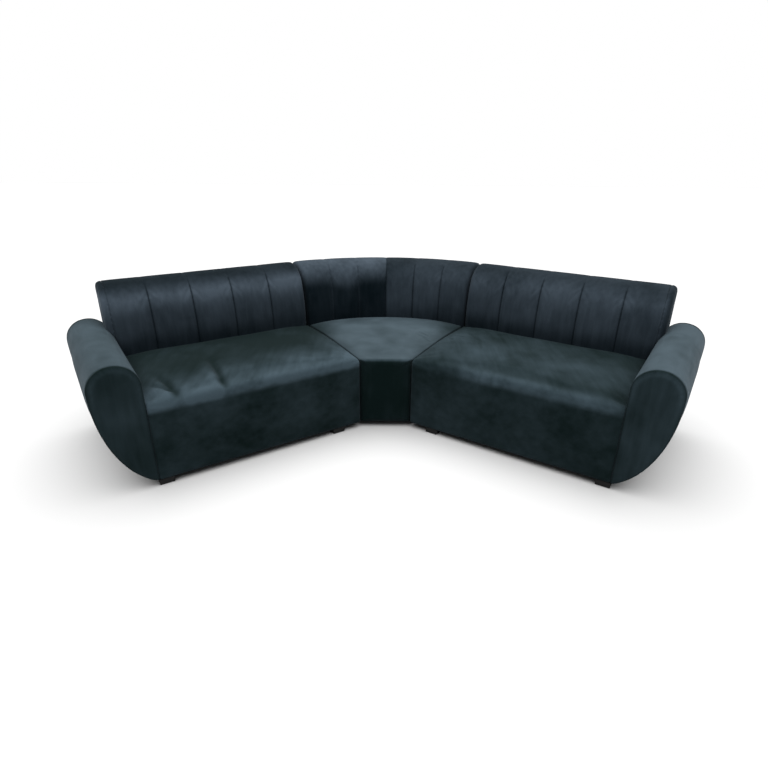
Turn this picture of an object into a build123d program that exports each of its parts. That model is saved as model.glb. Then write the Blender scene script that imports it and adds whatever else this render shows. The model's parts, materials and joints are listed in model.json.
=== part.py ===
from build123d import *
from math import asin, atan2, cos, degrees, radians, sin, sqrt, tan
import os

# Corner sectional sofa in three modules: a wedge-shaped corner unit and two armed wings that hook onto it.
# Each module is a timber and plywood frame with elastic webbing, foam pads under a velvet cover
# and block feet. A wing is modelled once, in its own frame: X runs from the corner unit to the arm,
# Y from front to back, Z up.
# The corner unit is modelled about its apex, the upright axis where its two side planes meet.
# All sizes are in millimetres.

# Plan of the sofa
WEDGE_ANGLE = 67.5
CORNER_FRONT_WIDTH = 250.0
MODULE_GAP = 10.0
SEAT_WIDTH = 1055.0
SEAT_DEPTH = 620.0
BACK_DEPTH = 225.0

# Heights above the floor
FOOT_HEIGHT = 30.0
DECK_HEIGHT = 250.0
SEAT_HEIGHT = 450.0
CORNER_EDGE_HEIGHT = 398.0
BACK_HEIGHT = 800.0
ARM_HEIGHT = 600.0

# Timber, plywood and webbing
RAIL_THICKNESS = 30.0
REAR_RAIL_HEIGHT = 100.0
SEAT_BACK_RAIL_HEIGHT = 90.0
BACK_RAIL_HEIGHT = 60.0
STRETCHER_HEIGHT = 118.0
PLY_THICKNESS = 18.0
LINING_THICKNESS = 4.0
LINING_INSET = 2.0
WEB_THICKNESS = 2.0
WEB_WIDTH = 60.0
SEAT_WEB_COUNT = 7
BACK_WEB_COUNT = 5
CORNER_WEB_COUNT = 3
DUST_COVER_THICKNESS = 1.5

# Back: the frame leans back from the deck, and the padded face bends back into a wide roll at the top
BACK_FOAM_FOOT = 85.0
RIDGE_FOAM = 60.0
TOP_RAIL_THICKNESS = 33.0
BACK_FACE_FOOT_RISE = 30.0
BACK_FACE_LEAN = 17.0
BACK_ROLL_RADIUS = 140.0
BACK_RIDGE_INSET = 55.0
BACK_REAR_ROLL_RADIUS = 26.0
BACK_TOP_DROP = 5.0
BACK_OVERHANG = 30.0
WING_CHANNELS = 5
CORNER_CHANNELS = 6
CHANNEL_CROWN = 7.0
END_DRAW_IN = 7.0
END_CROWN = 2.5
END_DRAW_WIDTH = 26.0
OUTSIDE_BACK_THICKNESS = 12.0

# Seat: it climbs from its front roll to the back, and its middle is bowed up
FRONT_PAD = 30.0
SEAT_ROLL_RADIUS = 55.0
SEAT_RISE = 25.0
SEAT_BOW = 8.0
SEAT_CROWN = 14.0
SEAT_FRONT_CROWN = 7.0
SEAT_SHOULDER = 8.5
SEAT_FRONT_SHOULDER = 4.0
SEAT_END_WIDTH = 70.0
CORNER_FACING = 22.0
CORNER_FACING_FILLET = 6.0
CORNER_EDGE_DROP = 3.0
CORNER_EDGE_RISE = 6.0

# Arm: upright inside, a half-round top and an outer side that bows in under the seat as part of an ellipse
ARM_WIDTH = 210.0
ARM_SOLE_WIDTH = 12.0
ARM_BOW_SHARE = 1.33
ARM_PAD = 20.0
ARM_FACING = 22.0
ARM_FACING_FILLET = 7.0
ARM_RAIL_WIDTH = 40.0
ARM_RAIL_HEIGHT = 25.0
ARM_SIDE_RAIL_HEIGHT = 400.0

# Feet and their screws
FOOT_TOP = 72.0
FOOT_TAPER = 8.0
FOOT_BORE = 8.0
FOOT_BORE_DEPTH = 14.0
FOOT_INNER_X = 132.0
FOOT_OUTER_INSET = 31.0
CORNER_FOOT_ANGLE = 22.0
CORNER_FOOT_DEPTH = 135.0
SCREW_RADIUS = 2.5
SCREW_HEAD_RADIUS = 5.5
SCREW_HEAD_HEIGHT = 2.0
SCREW_BITE = 15.0

# Connectors: a hook plate on the wing drops into a pocket on the corner unit
HOOK_PLATE = 2.5
HOOK_WIDTH = 40.0
HOOK_LENGTH = 36.0
HOOK_PLATE_HEIGHT = 44.0
POCKET_CLEARANCE = 0.5
POCKET_FLANGE = 26.0
POCKET_HEIGHT = 30.0
CONNECTOR_TOP = 170.0
CONNECTOR_DEPTHS = (160.0, 560.0)

# Fits
SOFT_GAP = 0.3
ARM_GAP = 1.0
SEAT_BACK_GAP = 3.0
SCREW_GAP = 0.1

# Values worked out from the sizes above
HALF_ANGLE = WEDGE_ANGLE / 2
APEX_RADIUS = CORNER_FRONT_WIDTH / 2 / sin(radians(HALF_ANGLE))
APEX_TO_FRONT = APEX_RADIUS * cos(radians(HALF_ANGLE))
FRAME_BASE = FOOT_HEIGHT + DUST_COVER_THICKNESS
PAD_BASE = DECK_HEIGHT + WEB_THICKNESS + SOFT_GAP
MODULE_DEPTH = SEAT_DEPTH + BACK_DEPTH
REAR_FACE = MODULE_DEPTH - OUTSIDE_BACK_THICKNESS
RAIL_TOP_HEIGHT = BACK_HEIGHT - RIDGE_FOAM
FRAME_LEAN_FOOT = SEAT_DEPTH + BACK_FOAM_FOOT
FRAME_LEAN_TOP = REAR_FACE - TOP_RAIL_THICKNESS
INNER_PLY = LINING_INSET + LINING_THICKNESS
CLEAR_START = INNER_PLY + PLY_THICKNESS
CLEAR_END = SEAT_WIDTH - PLY_THICKNESS
BACK_END = SEAT_WIDTH + BACK_OVERHANG
PAD_START = LINING_INSET / 2
ARM_OUTSIDE = SEAT_WIDTH + ARM_WIDTH
ARM_CENTRE_HEIGHT = ARM_HEIGHT - ARM_WIDTH / 2
ARM_RISE = ARM_CENTRE_HEIGHT - FRAME_BASE
ARM_INSET = ARM_WIDTH - ARM_SOLE_WIDTH
ARM_BOW_DEPTH = ARM_BOW_SHARE * ARM_WIDTH
ARM_BOW_HEIGHT = ARM_RISE / sqrt(1 - (1 - ARM_INSET / ARM_BOW_DEPTH) ** 2)
WING_PLACE = Location(
    (
        APEX_RADIUS * sin(radians(HALF_ANGLE)) + MODULE_GAP * cos(radians(HALF_ANGLE)),
        APEX_RADIUS * cos(radians(HALF_ANGLE)) - MODULE_GAP * sin(radians(HALF_ANGLE)),
        0,
    ),
    (0, 0, -HALF_ANGLE),
)


# Basic shapes
def block(low, high):
    """A box between two corners."""
    size = [b - a for a, b in zip(low, high)]
    return Pos(*low) * Box(*size, align=(Align.MIN, Align.MIN, Align.MIN))


def side_board(points, x_low, x_high):
    """A board of the given (y, z) outline, between two X positions."""
    outline = make_face(Polyline(*points, close=True))
    return Pos(x_low, 0, 0) * extrude(Plane.YZ * outline, amount=x_high - x_low)


def corner_ring(points, angle=WEDGE_ANGLE):
    """An (r, z) outline turned about the corner unit's apex, evenly to both sides of its middle."""
    outline = Plane.YZ * make_face(Polyline(*points, close=True))
    return revolve(Rot(0, 0, -angle / 2) * outline, Axis.Z, revolution_arc=angle)


def corner_wedge(inset):
    """The corner unit's plan, taken in from both side planes by the same distance, as a tall prism."""
    start = inset / sin(radians(HALF_ANGLE))
    reach = 2 * (APEX_RADIUS + MODULE_DEPTH)
    half = (reach - start) * tan(radians(HALF_ANGLE))
    plan = make_face(Polyline((0, start), (half, reach), (-half, reach), close=True))
    return extrude(plan, amount=2 * BACK_HEIGHT)


def corner_disc(radius, low=0.0, high=BACK_HEIGHT):
    """Everything within a radius of the apex, between two heights."""
    return Pos(0, 0, low) * Cylinder(radius, high - low, align=(Align.CENTER, Align.CENTER, Align.MIN))


def to_radius(points):
    """Wing (y, z) points as (r, z) points about the apex."""
    return [(y + APEX_RADIUS, z) for y, z in points]


def on_right(solid):
    return WING_PLACE * solid


def on_both_sides(solid):
    placed = WING_PLACE * solid
    return [placed, mirror(placed, about=Plane.YZ)]


# Outlines in the (y, z) plane that the wings and the corner unit share
def lean(z):
    """Depth of the back frame's leaning front edge at a height."""
    share = (z - DECK_HEIGHT) / (RAIL_TOP_HEIGHT - DECK_HEIGHT)
    return FRAME_LEAN_FOOT + share * (FRAME_LEAN_TOP - FRAME_LEAN_FOOT)


def rectangle_outline(y_low, y_high, z_low, z_high):
    return [(y_low, z_low), (y_high, z_low), (y_high, z_high), (y_low, z_high)]


def end_frame_outline(front):
    return [
        (front, FRAME_BASE),
        (REAR_FACE, FRAME_BASE),
        (REAR_FACE, RAIL_TOP_HEIGHT),
        (lean(RAIL_TOP_HEIGHT), RAIL_TOP_HEIGHT),
        (lean(DECK_HEIGHT), DECK_HEIGHT),
        (front, DECK_HEIGHT),
    ]


def rear_rail_outline():
    return rectangle_outline(
        REAR_FACE - RAIL_THICKNESS, REAR_FACE, FRAME_BASE, FRAME_BASE + REAR_RAIL_HEIGHT
    )


def seat_back_rail_outline():
    low = DECK_HEIGHT - SEAT_BACK_RAIL_HEIGHT
    return rectangle_outline(FRAME_LEAN_FOOT, FRAME_LEAN_FOOT + RAIL_THICKNESS, low, DECK_HEIGHT)


def back_rail_outline(low, high, rear):
    return [(lean(low), low), (rear, low), (rear, high), (lean(high), high)]


def lower_back_rail_outline():
    low = DECK_HEIGHT + WEB_THICKNESS
    high = low + BACK_RAIL_HEIGHT
    return back_rail_outline(low, high, lean(high) + RAIL_THICKNESS)


def top_rail_outline():
    return back_rail_outline(RAIL_TOP_HEIGHT - BACK_RAIL_HEIGHT, RAIL_TOP_HEIGHT, REAR_FACE)


def back_rail_outlines():
    return [seat_back_rail_outline(), lower_back_rail_outline(), top_rail_outline()]


def back_web_outline():
    low = PAD_BASE
    high = RAIL_TOP_HEIGHT
    return [
        (lean(low) - WEB_THICKNESS, low),
        (lean(low), low),
        (lean(high), high),
        (lean(high) - WEB_THICKNESS, high),
    ]


def back_pad_section(crown, offset=0.0, rear_depth=None):
    """Closed outline of the padded back; crown swells its face and top, and offset moves it along Y.

    The pad lies on the leaning frame or, where a rear depth is given, fills the back up to that depth.
    """
    face_foot = Vector(SEAT_DEPTH + SOFT_GAP + CHANNEL_CROWN - crown, SEAT_HEIGHT + BACK_FACE_FOOT_RISE)
    roll = BACK_ROLL_RADIUS + crown
    ridge_height = BACK_HEIGHT - CHANNEL_CROWN
    roll_centre = Vector(MODULE_DEPTH - BACK_RIDGE_INSET, ridge_height - BACK_ROLL_RADIUS)
    face_lean = radians(BACK_FACE_LEAN)
    face_top = roll_centre + Vector(-cos(face_lean), sin(face_lean)) * roll
    down_face = Vector(-sin(face_lean), -cos(face_lean))
    half_roll = (face_lean + radians(90)) / 2
    roll_middle = roll_centre + Vector(-cos(half_roll), sin(half_roll)) * roll
    ridge = roll_centre + Vector(0, roll)
    rear_roll = BACK_REAR_ROLL_RADIUS
    rear_ridge = Vector(MODULE_DEPTH - rear_roll, ridge.Y - BACK_TOP_DROP)
    rear_centre = rear_ridge - Vector(0, rear_roll)
    rear_middle = rear_centre + Vector(1, 1) * (rear_roll * sqrt(0.5))
    rear_top = rear_centre + Vector(rear_roll, 0)
    base = RAIL_TOP_HEIGHT + SOFT_GAP
    behind = WEB_THICKNESS + SOFT_GAP
    rear_high = rear_depth or lean(base) - behind
    rear_low = rear_depth or lean(PAD_BASE) - behind
    edges = [
        Line((rear_low, PAD_BASE), (face_foot.X, PAD_BASE)),
        Line((face_foot.X, PAD_BASE), face_foot),
        TangentArc(face_top, face_foot, tangent=down_face),
        ThreePointArc(face_top, roll_middle, ridge),
        Line(ridge, rear_ridge),
        ThreePointArc(rear_ridge, rear_middle, rear_top),
        Line(rear_top, (MODULE_DEPTH, base)),
        Line((MODULE_DEPTH, base), (rear_high, base)),
        Line((rear_high, base), (rear_low, PAD_BASE)),
    ]
    return Plane.YZ * (Pos(offset, 0) * make_face(edges))


def channel_crowns(index, count):
    """(share of the width, crown) pairs of one channel; the outermost channels draw in at their end."""
    crowns = [(0.0, 0.0), (0.5, CHANNEL_CROWN), (1.0, 0.0)]
    draw = END_DRAW_WIDTH / ((BACK_END - PAD_START) / WING_CHANNELS)
    if index == 0:
        crowns[0:1] = [(0.0, -END_DRAW_IN), (draw, END_CROWN)]
    if index == count - 1:
        crowns[-1:] = [(1.0 - draw, END_CROWN), (1.0, -END_DRAW_IN)]
    return crowns


# Arm outline, in the (x, z) plane
def arm_outline(inset):
    """The arm's upright section, taken in all round by the inset, as a face in the XZ plane."""
    inside = SEAT_WIDTH + inset
    outside = ARM_OUTSIDE - inset
    radius = ARM_WIDTH / 2 - inset
    middle_x = SEAT_WIDTH + ARM_WIDTH / 2
    centre = Vector(middle_x, ARM_CENTRE_HEIGHT)
    across = ARM_BOW_DEPTH - inset
    down = ARM_BOW_HEIGHT - inset
    bow_centre = Vector(ARM_OUTSIDE - ARM_BOW_DEPTH, ARM_CENTRE_HEIGHT)
    reach = (inside - bow_centre.X) / across
    sole = max(FRAME_BASE + inset, ARM_CENTRE_HEIGHT - down * sqrt(1 - reach**2))
    turn = asin((ARM_CENTRE_HEIGHT - sole) / down)
    bow = EllipticalCenterArc(bow_centre, across, down, arc_size=-degrees(turn))
    sole_x = bow_centre.X + across * cos(turn)
    diagonal = radius * sqrt(0.5)
    edges = [
        Line((inside, sole), (inside, ARM_CENTRE_HEIGHT)),
        ThreePointArc(
            (inside, ARM_CENTRE_HEIGHT), centre + Vector(-diagonal, diagonal), centre + Vector(0, radius)
        ),
        ThreePointArc(
            centre + Vector(0, radius), centre + Vector(diagonal, diagonal), (outside, ARM_CENTRE_HEIGHT)
        ),
        bow,
    ]
    if sole_x - inside > SOFT_GAP:
        edges.append(Line((sole_x, sole), (inside, sole)))
    return Plane.XZ * make_face(edges)


def arm_prism(inset, front, rear):
    return Pos(0, front, 0) * extrude(arm_outline(inset), amount=front - rear)


# Screws and feet
def screw(length):
    """A pan-head screw along +Z, with the underside of its head at the origin."""
    shank = Cylinder(SCREW_RADIUS, length, align=(Align.CENTER, Align.CENTER, Align.MIN))
    head = Cylinder(SCREW_HEAD_RADIUS, SCREW_HEAD_HEIGHT, align=(Align.CENTER, Align.CENTER, Align.MAX))
    return shank + head


def screw_hole(length):
    radius = SCREW_RADIUS + SCREW_GAP
    return Cylinder(radius, length + SCREW_GAP, align=(Align.CENTER, Align.CENTER, Align.MIN))


def foot():
    """A tapered block with a counterbore for its screw, standing on the floor at the origin."""
    size = FOOT_TOP - FOOT_TAPER
    body = loft([Rectangle(size, size), Pos(0, 0, FOOT_HEIGHT) * Rectangle(FOOT_TOP, FOOT_TOP)])
    bore = Cylinder(FOOT_BORE, FOOT_BORE_DEPTH, align=(Align.CENTER, Align.CENTER, Align.MIN))
    return body - bore - Pos(0, 0, FOOT_BORE_DEPTH) * screw_hole(FOOT_HEIGHT)


FOOT_SCREW_LENGTH = FRAME_BASE - FOOT_BORE_DEPTH + SCREW_BITE
FOOT_SCREW_SEAT = Pos(0, 0, FOOT_BORE_DEPTH)


def wing_foot_places():
    front = FRONT_PAD + RAIL_THICKNESS / 2
    rear = REAR_FACE - RAIL_THICKNESS / 2
    return [Pos(x, y, 0) for x in (FOOT_INNER_X, SEAT_WIDTH - FOOT_OUTER_INSET) for y in (front, rear)]


def corner_foot_places():
    rear = APEX_RADIUS + REAR_FACE - RAIL_THICKNESS / 2
    turns = [Rot(0, 0, side * CORNER_FOOT_ANGLE) * Pos(0, rear, 0) for side in (-1, 1)]
    return [Pos(0, APEX_TO_FRONT + CORNER_FOOT_DEPTH, 0), *turns]


# Connectors, in the wing's frame; the corner unit's side plane is one module gap to the left of the wing
POCKET_FACE = -MODULE_GAP - LINING_INSET
POCKET_DEPTH = HOOK_PLATE + 2 * POCKET_CLEARANCE
BRACKET_SCREW_LENGTH = HOOK_PLATE + LINING_THICKNESS + SCREW_BITE


def connector_hook():
    """A plate on the wing's lining, cranked over the pocket's bridge, with a tongue hanging in the pocket."""
    plate_face = LINING_INSET - HOOK_PLATE
    tongue_face = POCKET_FACE + POCKET_CLEARANCE
    half = HOOK_WIDTH / 2
    shelf_low = CONNECTOR_TOP + POCKET_CLEARANCE
    shelf_high = shelf_low + HOOK_PLATE
    plate = block((plate_face, -half, shelf_low), (LINING_INSET, half, shelf_low + HOOK_PLATE_HEIGHT))
    shelf = block((tongue_face, -half, shelf_low), (plate_face, half, shelf_high))
    tongue_low = shelf_low - HOOK_LENGTH
    tongue = block((tongue_face, -half, tongue_low), (tongue_face + HOOK_PLATE, half, shelf_high))
    return plate + shelf + tongue


def connector_pocket():
    """Two flanges on the corner unit's lining and a raised bridge between them, open above and below."""
    half = HOOK_WIDTH / 2 + POCKET_CLEARANCE
    low = CONNECTOR_TOP - POCKET_HEIGHT
    bridge_face = POCKET_FACE + POCKET_DEPTH
    bridge = block((bridge_face, -half, low), (bridge_face + HOOK_PLATE, half, CONNECTOR_TOP))
    flanges = [
        block(
            (POCKET_FACE, min(side * half, side * (half + POCKET_FLANGE)), low),
            (POCKET_FACE + HOOK_PLATE, max(side * half, side * (half + POCKET_FLANGE)), CONNECTOR_TOP),
        )
        for side in (-1, 1)
    ]
    walls = [
        block(
            (POCKET_FACE, min(side * half, side * (half + HOOK_PLATE)), low),
            (bridge_face + HOOK_PLATE, max(side * half, side * (half + HOOK_PLATE)), CONNECTOR_TOP),
        )
        for side in (-1, 1)
    ]
    return bridge + flanges + walls


def hook_screw_places():
    """Screw seats on the hook plates, with each screw pointing into the wing."""
    face = LINING_INSET - HOOK_PLATE
    height = CONNECTOR_TOP + HOOK_PLATE_HEIGHT * 2 / 3
    return [
        Pos(face, depth + side * HOOK_WIDTH / 4, height) * Rot(0, 90, 0)
        for depth in CONNECTOR_DEPTHS
        for side in (-1, 1)
    ]


def pocket_screw_places():
    """Screw seats on the pocket flanges, with each screw pointing into the corner unit."""
    face = POCKET_FACE + HOOK_PLATE
    reach = HOOK_WIDTH / 2 + POCKET_CLEARANCE + POCKET_FLANGE - SCREW_HEAD_RADIUS * 2
    height = CONNECTOR_TOP - POCKET_HEIGHT / 2
    return [
        Pos(face, depth + side * reach, height) * Rot(0, -90, 0)
        for depth in CONNECTOR_DEPTHS
        for side in (-1, 1)
    ]


def drilled(solid, places, length):
    """The solid with a screw hole at each place."""
    for place in places:
        solid = solid - place * screw_hole(length)
    return solid


# Pieces of a wing
def wing_rails():
    front = block((CLEAR_START, FRONT_PAD, FRAME_BASE), (CLEAR_END, FRONT_PAD + RAIL_THICKNESS, DECK_HEIGHT))
    rear = side_board(rear_rail_outline(), CLEAR_START, CLEAR_END)
    middle = (CLEAR_START + CLEAR_END) / 2
    stretcher = block(
        (middle - RAIL_THICKNESS / 2, FRONT_PAD + RAIL_THICKNESS, FRAME_BASE),
        (middle + RAIL_THICKNESS / 2, REAR_FACE - RAIL_THICKNESS, FRAME_BASE + STRETCHER_HEIGHT),
    )
    seats = [place * FOOT_SCREW_SEAT for place in wing_foot_places()]
    return {
        "front_rail": drilled(front, seats, FOOT_SCREW_LENGTH),
        "rear_rail": drilled(rear, seats, FOOT_SCREW_LENGTH),
        "centre_stretcher": stretcher,
        "back_rails": [side_board(outline, CLEAR_START, CLEAR_END) for outline in back_rail_outlines()],
    }


def wing_ends():
    outline = end_frame_outline(FRONT_PAD)
    inner = side_board(outline, INNER_PLY, CLEAR_START)
    lining = side_board(outline, LINING_INSET, INNER_PLY)
    places = hook_screw_places()
    return {
        "inner_end_frame": drilled(inner, places, BRACKET_SCREW_LENGTH),
        "inner_end_lining": drilled(lining, places, BRACKET_SCREW_LENGTH),
        "outer_end_frame": side_board(outline, CLEAR_END, SEAT_WIDTH),
    }


def evenly(count, low, high):
    """Middles of count equal shares of a span."""
    step = (high - low) / count
    return [low + step * (i + 0.5) for i in range(count)]


def wing_webbing():
    seat = [
        block(
            (x - WEB_WIDTH / 2, FRONT_PAD, DECK_HEIGHT),
            (x + WEB_WIDTH / 2, FRAME_LEAN_FOOT + RAIL_THICKNESS, DECK_HEIGHT + WEB_THICKNESS),
        )
        for x in evenly(SEAT_WEB_COUNT, CLEAR_START, CLEAR_END)
    ]
    back = [
        side_board(back_web_outline(), x - WEB_WIDTH / 2, x + WEB_WIDTH / 2)
        for x in evenly(BACK_WEB_COUNT, CLEAR_START, CLEAR_END)
    ]
    return {"seat_webbing": seat, "back_webbing": back}


def seat_section(crown, front_crown):
    """Closed outline of the seat: a bowed top that rolls over the front and hangs to the frame's base."""
    front = -front_crown
    height = SEAT_HEIGHT - SEAT_CROWN + crown
    edge = height - SEAT_RISE
    roll = SEAT_ROLL_RADIUS
    rear = SEAT_DEPTH - SEAT_BACK_GAP
    inside = FRONT_PAD - SOFT_GAP
    run = rear - front - roll
    climb = atan2(SEAT_RISE, run) + 2 * atan2(2 * SEAT_BOW, run)
    half_turn = (radians(90) - climb) / 2
    roll_centre = Vector(front + roll, edge - roll)
    roll_middle = roll_centre + Vector(-cos(half_turn), sin(half_turn)) * roll
    roll_top = roll_centre + Vector(-sin(climb), cos(climb)) * roll
    edges = [
        Line((inside, FRAME_BASE), (front, FRAME_BASE)),
        Line((front, FRAME_BASE), (front, edge - roll)),
        ThreePointArc((front, edge - roll), roll_middle, roll_top),
        TangentArc(roll_top, (rear, height), tangent=(cos(climb), sin(climb))),
        Line((rear, height), (rear, PAD_BASE)),
        Line((rear, PAD_BASE), (inside, PAD_BASE)),
        Line((inside, PAD_BASE), (inside, FRAME_BASE)),
    ]
    return Plane.YZ * make_face(edges)


def wing_seat_pad():
    low = PAD_START
    high = SEAT_WIDTH - SOFT_GAP
    stations = [
        (low, 0.0, 0.0),
        (low + SEAT_END_WIDTH, SEAT_SHOULDER, SEAT_FRONT_SHOULDER),
        ((low + high) / 2, SEAT_CROWN, SEAT_FRONT_CROWN),
        (high - SEAT_END_WIDTH, SEAT_SHOULDER, SEAT_FRONT_SHOULDER),
        (high, 0.0, 0.0),
    ]
    return loft([Pos(x, 0, 0) * seat_section(crown, front) for x, crown, front in stations])


def wing_back_pad():
    """Channels sewn in at each seam, and a cheek round the outer end of the frame, cut to lie on the arm."""
    width = (BACK_END - PAD_START) / WING_CHANNELS
    pad = Part()
    for i in range(WING_CHANNELS):
        sections = [
            Pos(PAD_START + (i + share) * width, 0, 0) * back_pad_section(crown)
            for share, crown in channel_crowns(i, WING_CHANNELS)
        ]
        pad = pad + loft(sections)
    section = back_pad_section(-END_DRAW_IN, rear_depth=REAR_FACE - SOFT_GAP)
    cheek = Pos(SEAT_WIDTH + SOFT_GAP, 0, 0) * extrude(section, BACK_OVERHANG - SOFT_GAP, dir=(1, 0, 0))
    return pad + cheek - arm_prism(-ARM_GAP, -ARM_GAP, MODULE_DEPTH + ARM_GAP)


def wing_outside_back():
    panel = block(
        (LINING_INSET, REAR_FACE, FRAME_BASE), (BACK_END - SOFT_GAP, MODULE_DEPTH, RAIL_TOP_HEIGHT)
    )
    below_arm = block(
        (SEAT_WIDTH - SOFT_GAP, 0, 0), (ARM_OUTSIDE, MODULE_DEPTH + ARM_GAP, ARM_CENTRE_HEIGHT)
    )
    return panel - below_arm - arm_prism(-ARM_GAP, 0, MODULE_DEPTH + ARM_GAP)


def wing_arm():
    front = ARM_FACING
    rear = MODULE_DEPTH - ARM_FACING
    former_front = front + PLY_THICKNESS
    former_rear = rear - PLY_THICKNESS
    board_low = FRAME_BASE + REAR_RAIL_HEIGHT
    board = block(
        (SEAT_WIDTH, former_front, board_low), (SEAT_WIDTH + ARM_PAD, former_rear, DECK_HEIGHT)
    )
    board_room = block(
        (SEAT_WIDTH - SOFT_GAP, front, board_low - SOFT_GAP),
        (SEAT_WIDTH + ARM_PAD + SOFT_GAP, rear, DECK_HEIGHT + SOFT_GAP),
    )
    pad = arm_prism(0, front, rear) - arm_prism(ARM_PAD, front, rear) - board_room
    former_inset = ARM_PAD + SOFT_GAP
    former_low = block(
        (SEAT_WIDTH, 0, board_low), (SEAT_WIDTH + ARM_PAD + SOFT_GAP, MODULE_DEPTH, DECK_HEIGHT)
    )
    formers = [
        arm_prism(former_inset, start, start + PLY_THICKNESS)
        + former_low & block((0, start, 0), (ARM_OUTSIDE, start + PLY_THICKNESS, ARM_HEIGHT))
        for start in (front, former_rear)
    ]
    crest = ARM_HEIGHT - ARM_PAD - ARM_RAIL_HEIGHT / 2
    middle = SEAT_WIDTH + ARM_WIDTH / 2
    outer = ARM_OUTSIDE - ARM_PAD - ARM_RAIL_HEIGHT
    rails = [
        block(
            (middle - ARM_RAIL_WIDTH / 2, former_front, crest - ARM_RAIL_HEIGHT),
            (middle + ARM_RAIL_WIDTH / 2, former_rear, crest),
        ),
        block(
            (outer - ARM_RAIL_HEIGHT, former_front, ARM_SIDE_RAIL_HEIGHT),
            (outer, former_rear, ARM_SIDE_RAIL_HEIGHT + ARM_RAIL_WIDTH),
        ),
    ]
    facing = arm_prism(0, 0, front - SOFT_GAP)
    front_facing = fillet(facing.faces().sort_by(Axis.Y)[0].edges(), ARM_FACING_FILLET)
    middle_plane = Plane((0, MODULE_DEPTH / 2, 0), z_dir=(0, 1, 0))
    return {
        "arm_formers": formers,
        "arm_rails": rails,
        "arm_side_board": board,
        "arm_pad": pad,
        "arm_front_facing": front_facing,
        "arm_rear_facing": mirror(front_facing, about=middle_plane),
    }


def wing_base():
    cover = block((LINING_INSET, FRONT_PAD, FOOT_HEIGHT), (SEAT_WIDTH, REAR_FACE, FRAME_BASE))
    places = wing_foot_places()
    seats = [place * FOOT_SCREW_SEAT for place in places]
    foot_screws = [seat * screw(FOOT_SCREW_LENGTH) for seat in seats]
    hook_screws = [place * screw(BRACKET_SCREW_LENGTH) for place in hook_screw_places()]
    hooks = [Pos(0, depth, 0) * connector_hook() for depth in CONNECTOR_DEPTHS]
    return {
        "dust_cover": drilled(cover, seats, FOOT_SCREW_LENGTH),
        "feet": [place * foot() for place in places],
        "screws": foot_screws + hook_screws,
        "connector_hooks": [drilled(hook, hook_screw_places(), BRACKET_SCREW_LENGTH) for hook in hooks],
    }


def wing():
    """Every piece of a wing, by name, in the wing's own frame."""
    return {
        **wing_rails(),
        **wing_ends(),
        **wing_webbing(),
        "seat_pad": wing_seat_pad(),
        "back_pad": wing_back_pad(),
        "outside_back": wing_outside_back(),
        **wing_arm(),
        **wing_base(),
    }


# Pieces of the corner unit, about its apex
def corner_frame():
    clear = corner_wedge(CLEAR_START)
    seats = [place * FOOT_SCREW_SEAT for place in corner_foot_places()]
    front_y = APEX_TO_FRONT + CORNER_FACING
    front = block(
        (-CORNER_FRONT_WIDTH, front_y, FRAME_BASE),
        (CORNER_FRONT_WIDTH, front_y + RAIL_THICKNESS, DECK_HEIGHT),
    )
    side_y = front_y + RAIL_THICKNESS
    spine = block(
        (-RAIL_THICKNESS / 2, side_y, FRAME_BASE),
        (RAIL_THICKNESS / 2, APEX_RADIUS + REAR_FACE, FRAME_BASE + STRETCHER_HEIGHT),
    )
    rear = corner_ring(to_radius(rear_rail_outline())) & clear
    before_rear_rail = corner_disc(APEX_RADIUS + REAR_FACE - RAIL_THICKNESS)
    before_outside_back = corner_disc(APEX_RADIUS + REAR_FACE)
    ends = end_frame_outline(FRONT_PAD)
    left_x = -MODULE_GAP - CLEAR_START
    side = side_board(ends, left_x, left_x + PLY_THICKNESS)
    lining = side_board(ends, left_x + PLY_THICKNESS, -MODULE_GAP - LINING_INSET)
    places = pocket_screw_places()
    return {
        "corner_front_rail": front & clear,
        "corner_spine": drilled(spine & before_rear_rail, seats, FOOT_SCREW_LENGTH),
        "corner_rear_rail": drilled(rear, seats, FOOT_SCREW_LENGTH),
        "corner_back_rails": [corner_ring(to_radius(outline)) & clear for outline in back_rail_outlines()],
        "corner_side_frames": [
            one & before_outside_back for one in on_both_sides(drilled(side, places, BRACKET_SCREW_LENGTH))
        ],
        "corner_side_linings": [
            one & before_outside_back for one in on_both_sides(drilled(lining, places, BRACKET_SCREW_LENGTH))
        ],
    }


def corner_webbing():
    """Straps that fan out from the front rail to the seat's back rail, and straps up the leaning back."""
    front = APEX_TO_FRONT + CORNER_FACING
    rear = APEX_RADIUS + FRAME_LEAN_FOOT + RAIL_THICKNESS
    angles = [-HALF_ANGLE + a for a in evenly(CORNER_WEB_COUNT, 0, WEDGE_ANGLE)]
    length = block((-WEB_WIDTH / 2, 0, DECK_HEIGHT), (WEB_WIDTH / 2, rear, DECK_HEIGHT + WEB_THICKNESS))
    behind_front = block((-rear, front, 0), (rear, 2 * rear, BACK_HEIGHT))
    seat = [Rot(0, 0, angle) * length & behind_front & corner_disc(rear) for angle in angles]
    spread = degrees(WEB_WIDTH / (APEX_RADIUS + FRAME_LEAN_TOP))
    back = [
        Rot(0, 0, angle) * corner_ring(to_radius(back_web_outline()), spread)
        for angle in [-HALF_ANGLE + a for a in evenly(CORNER_CHANNELS, 0, WEDGE_ANGLE)]
    ]
    return {"corner_seat_webbing": seat, "corner_back_webbing": back}


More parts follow.
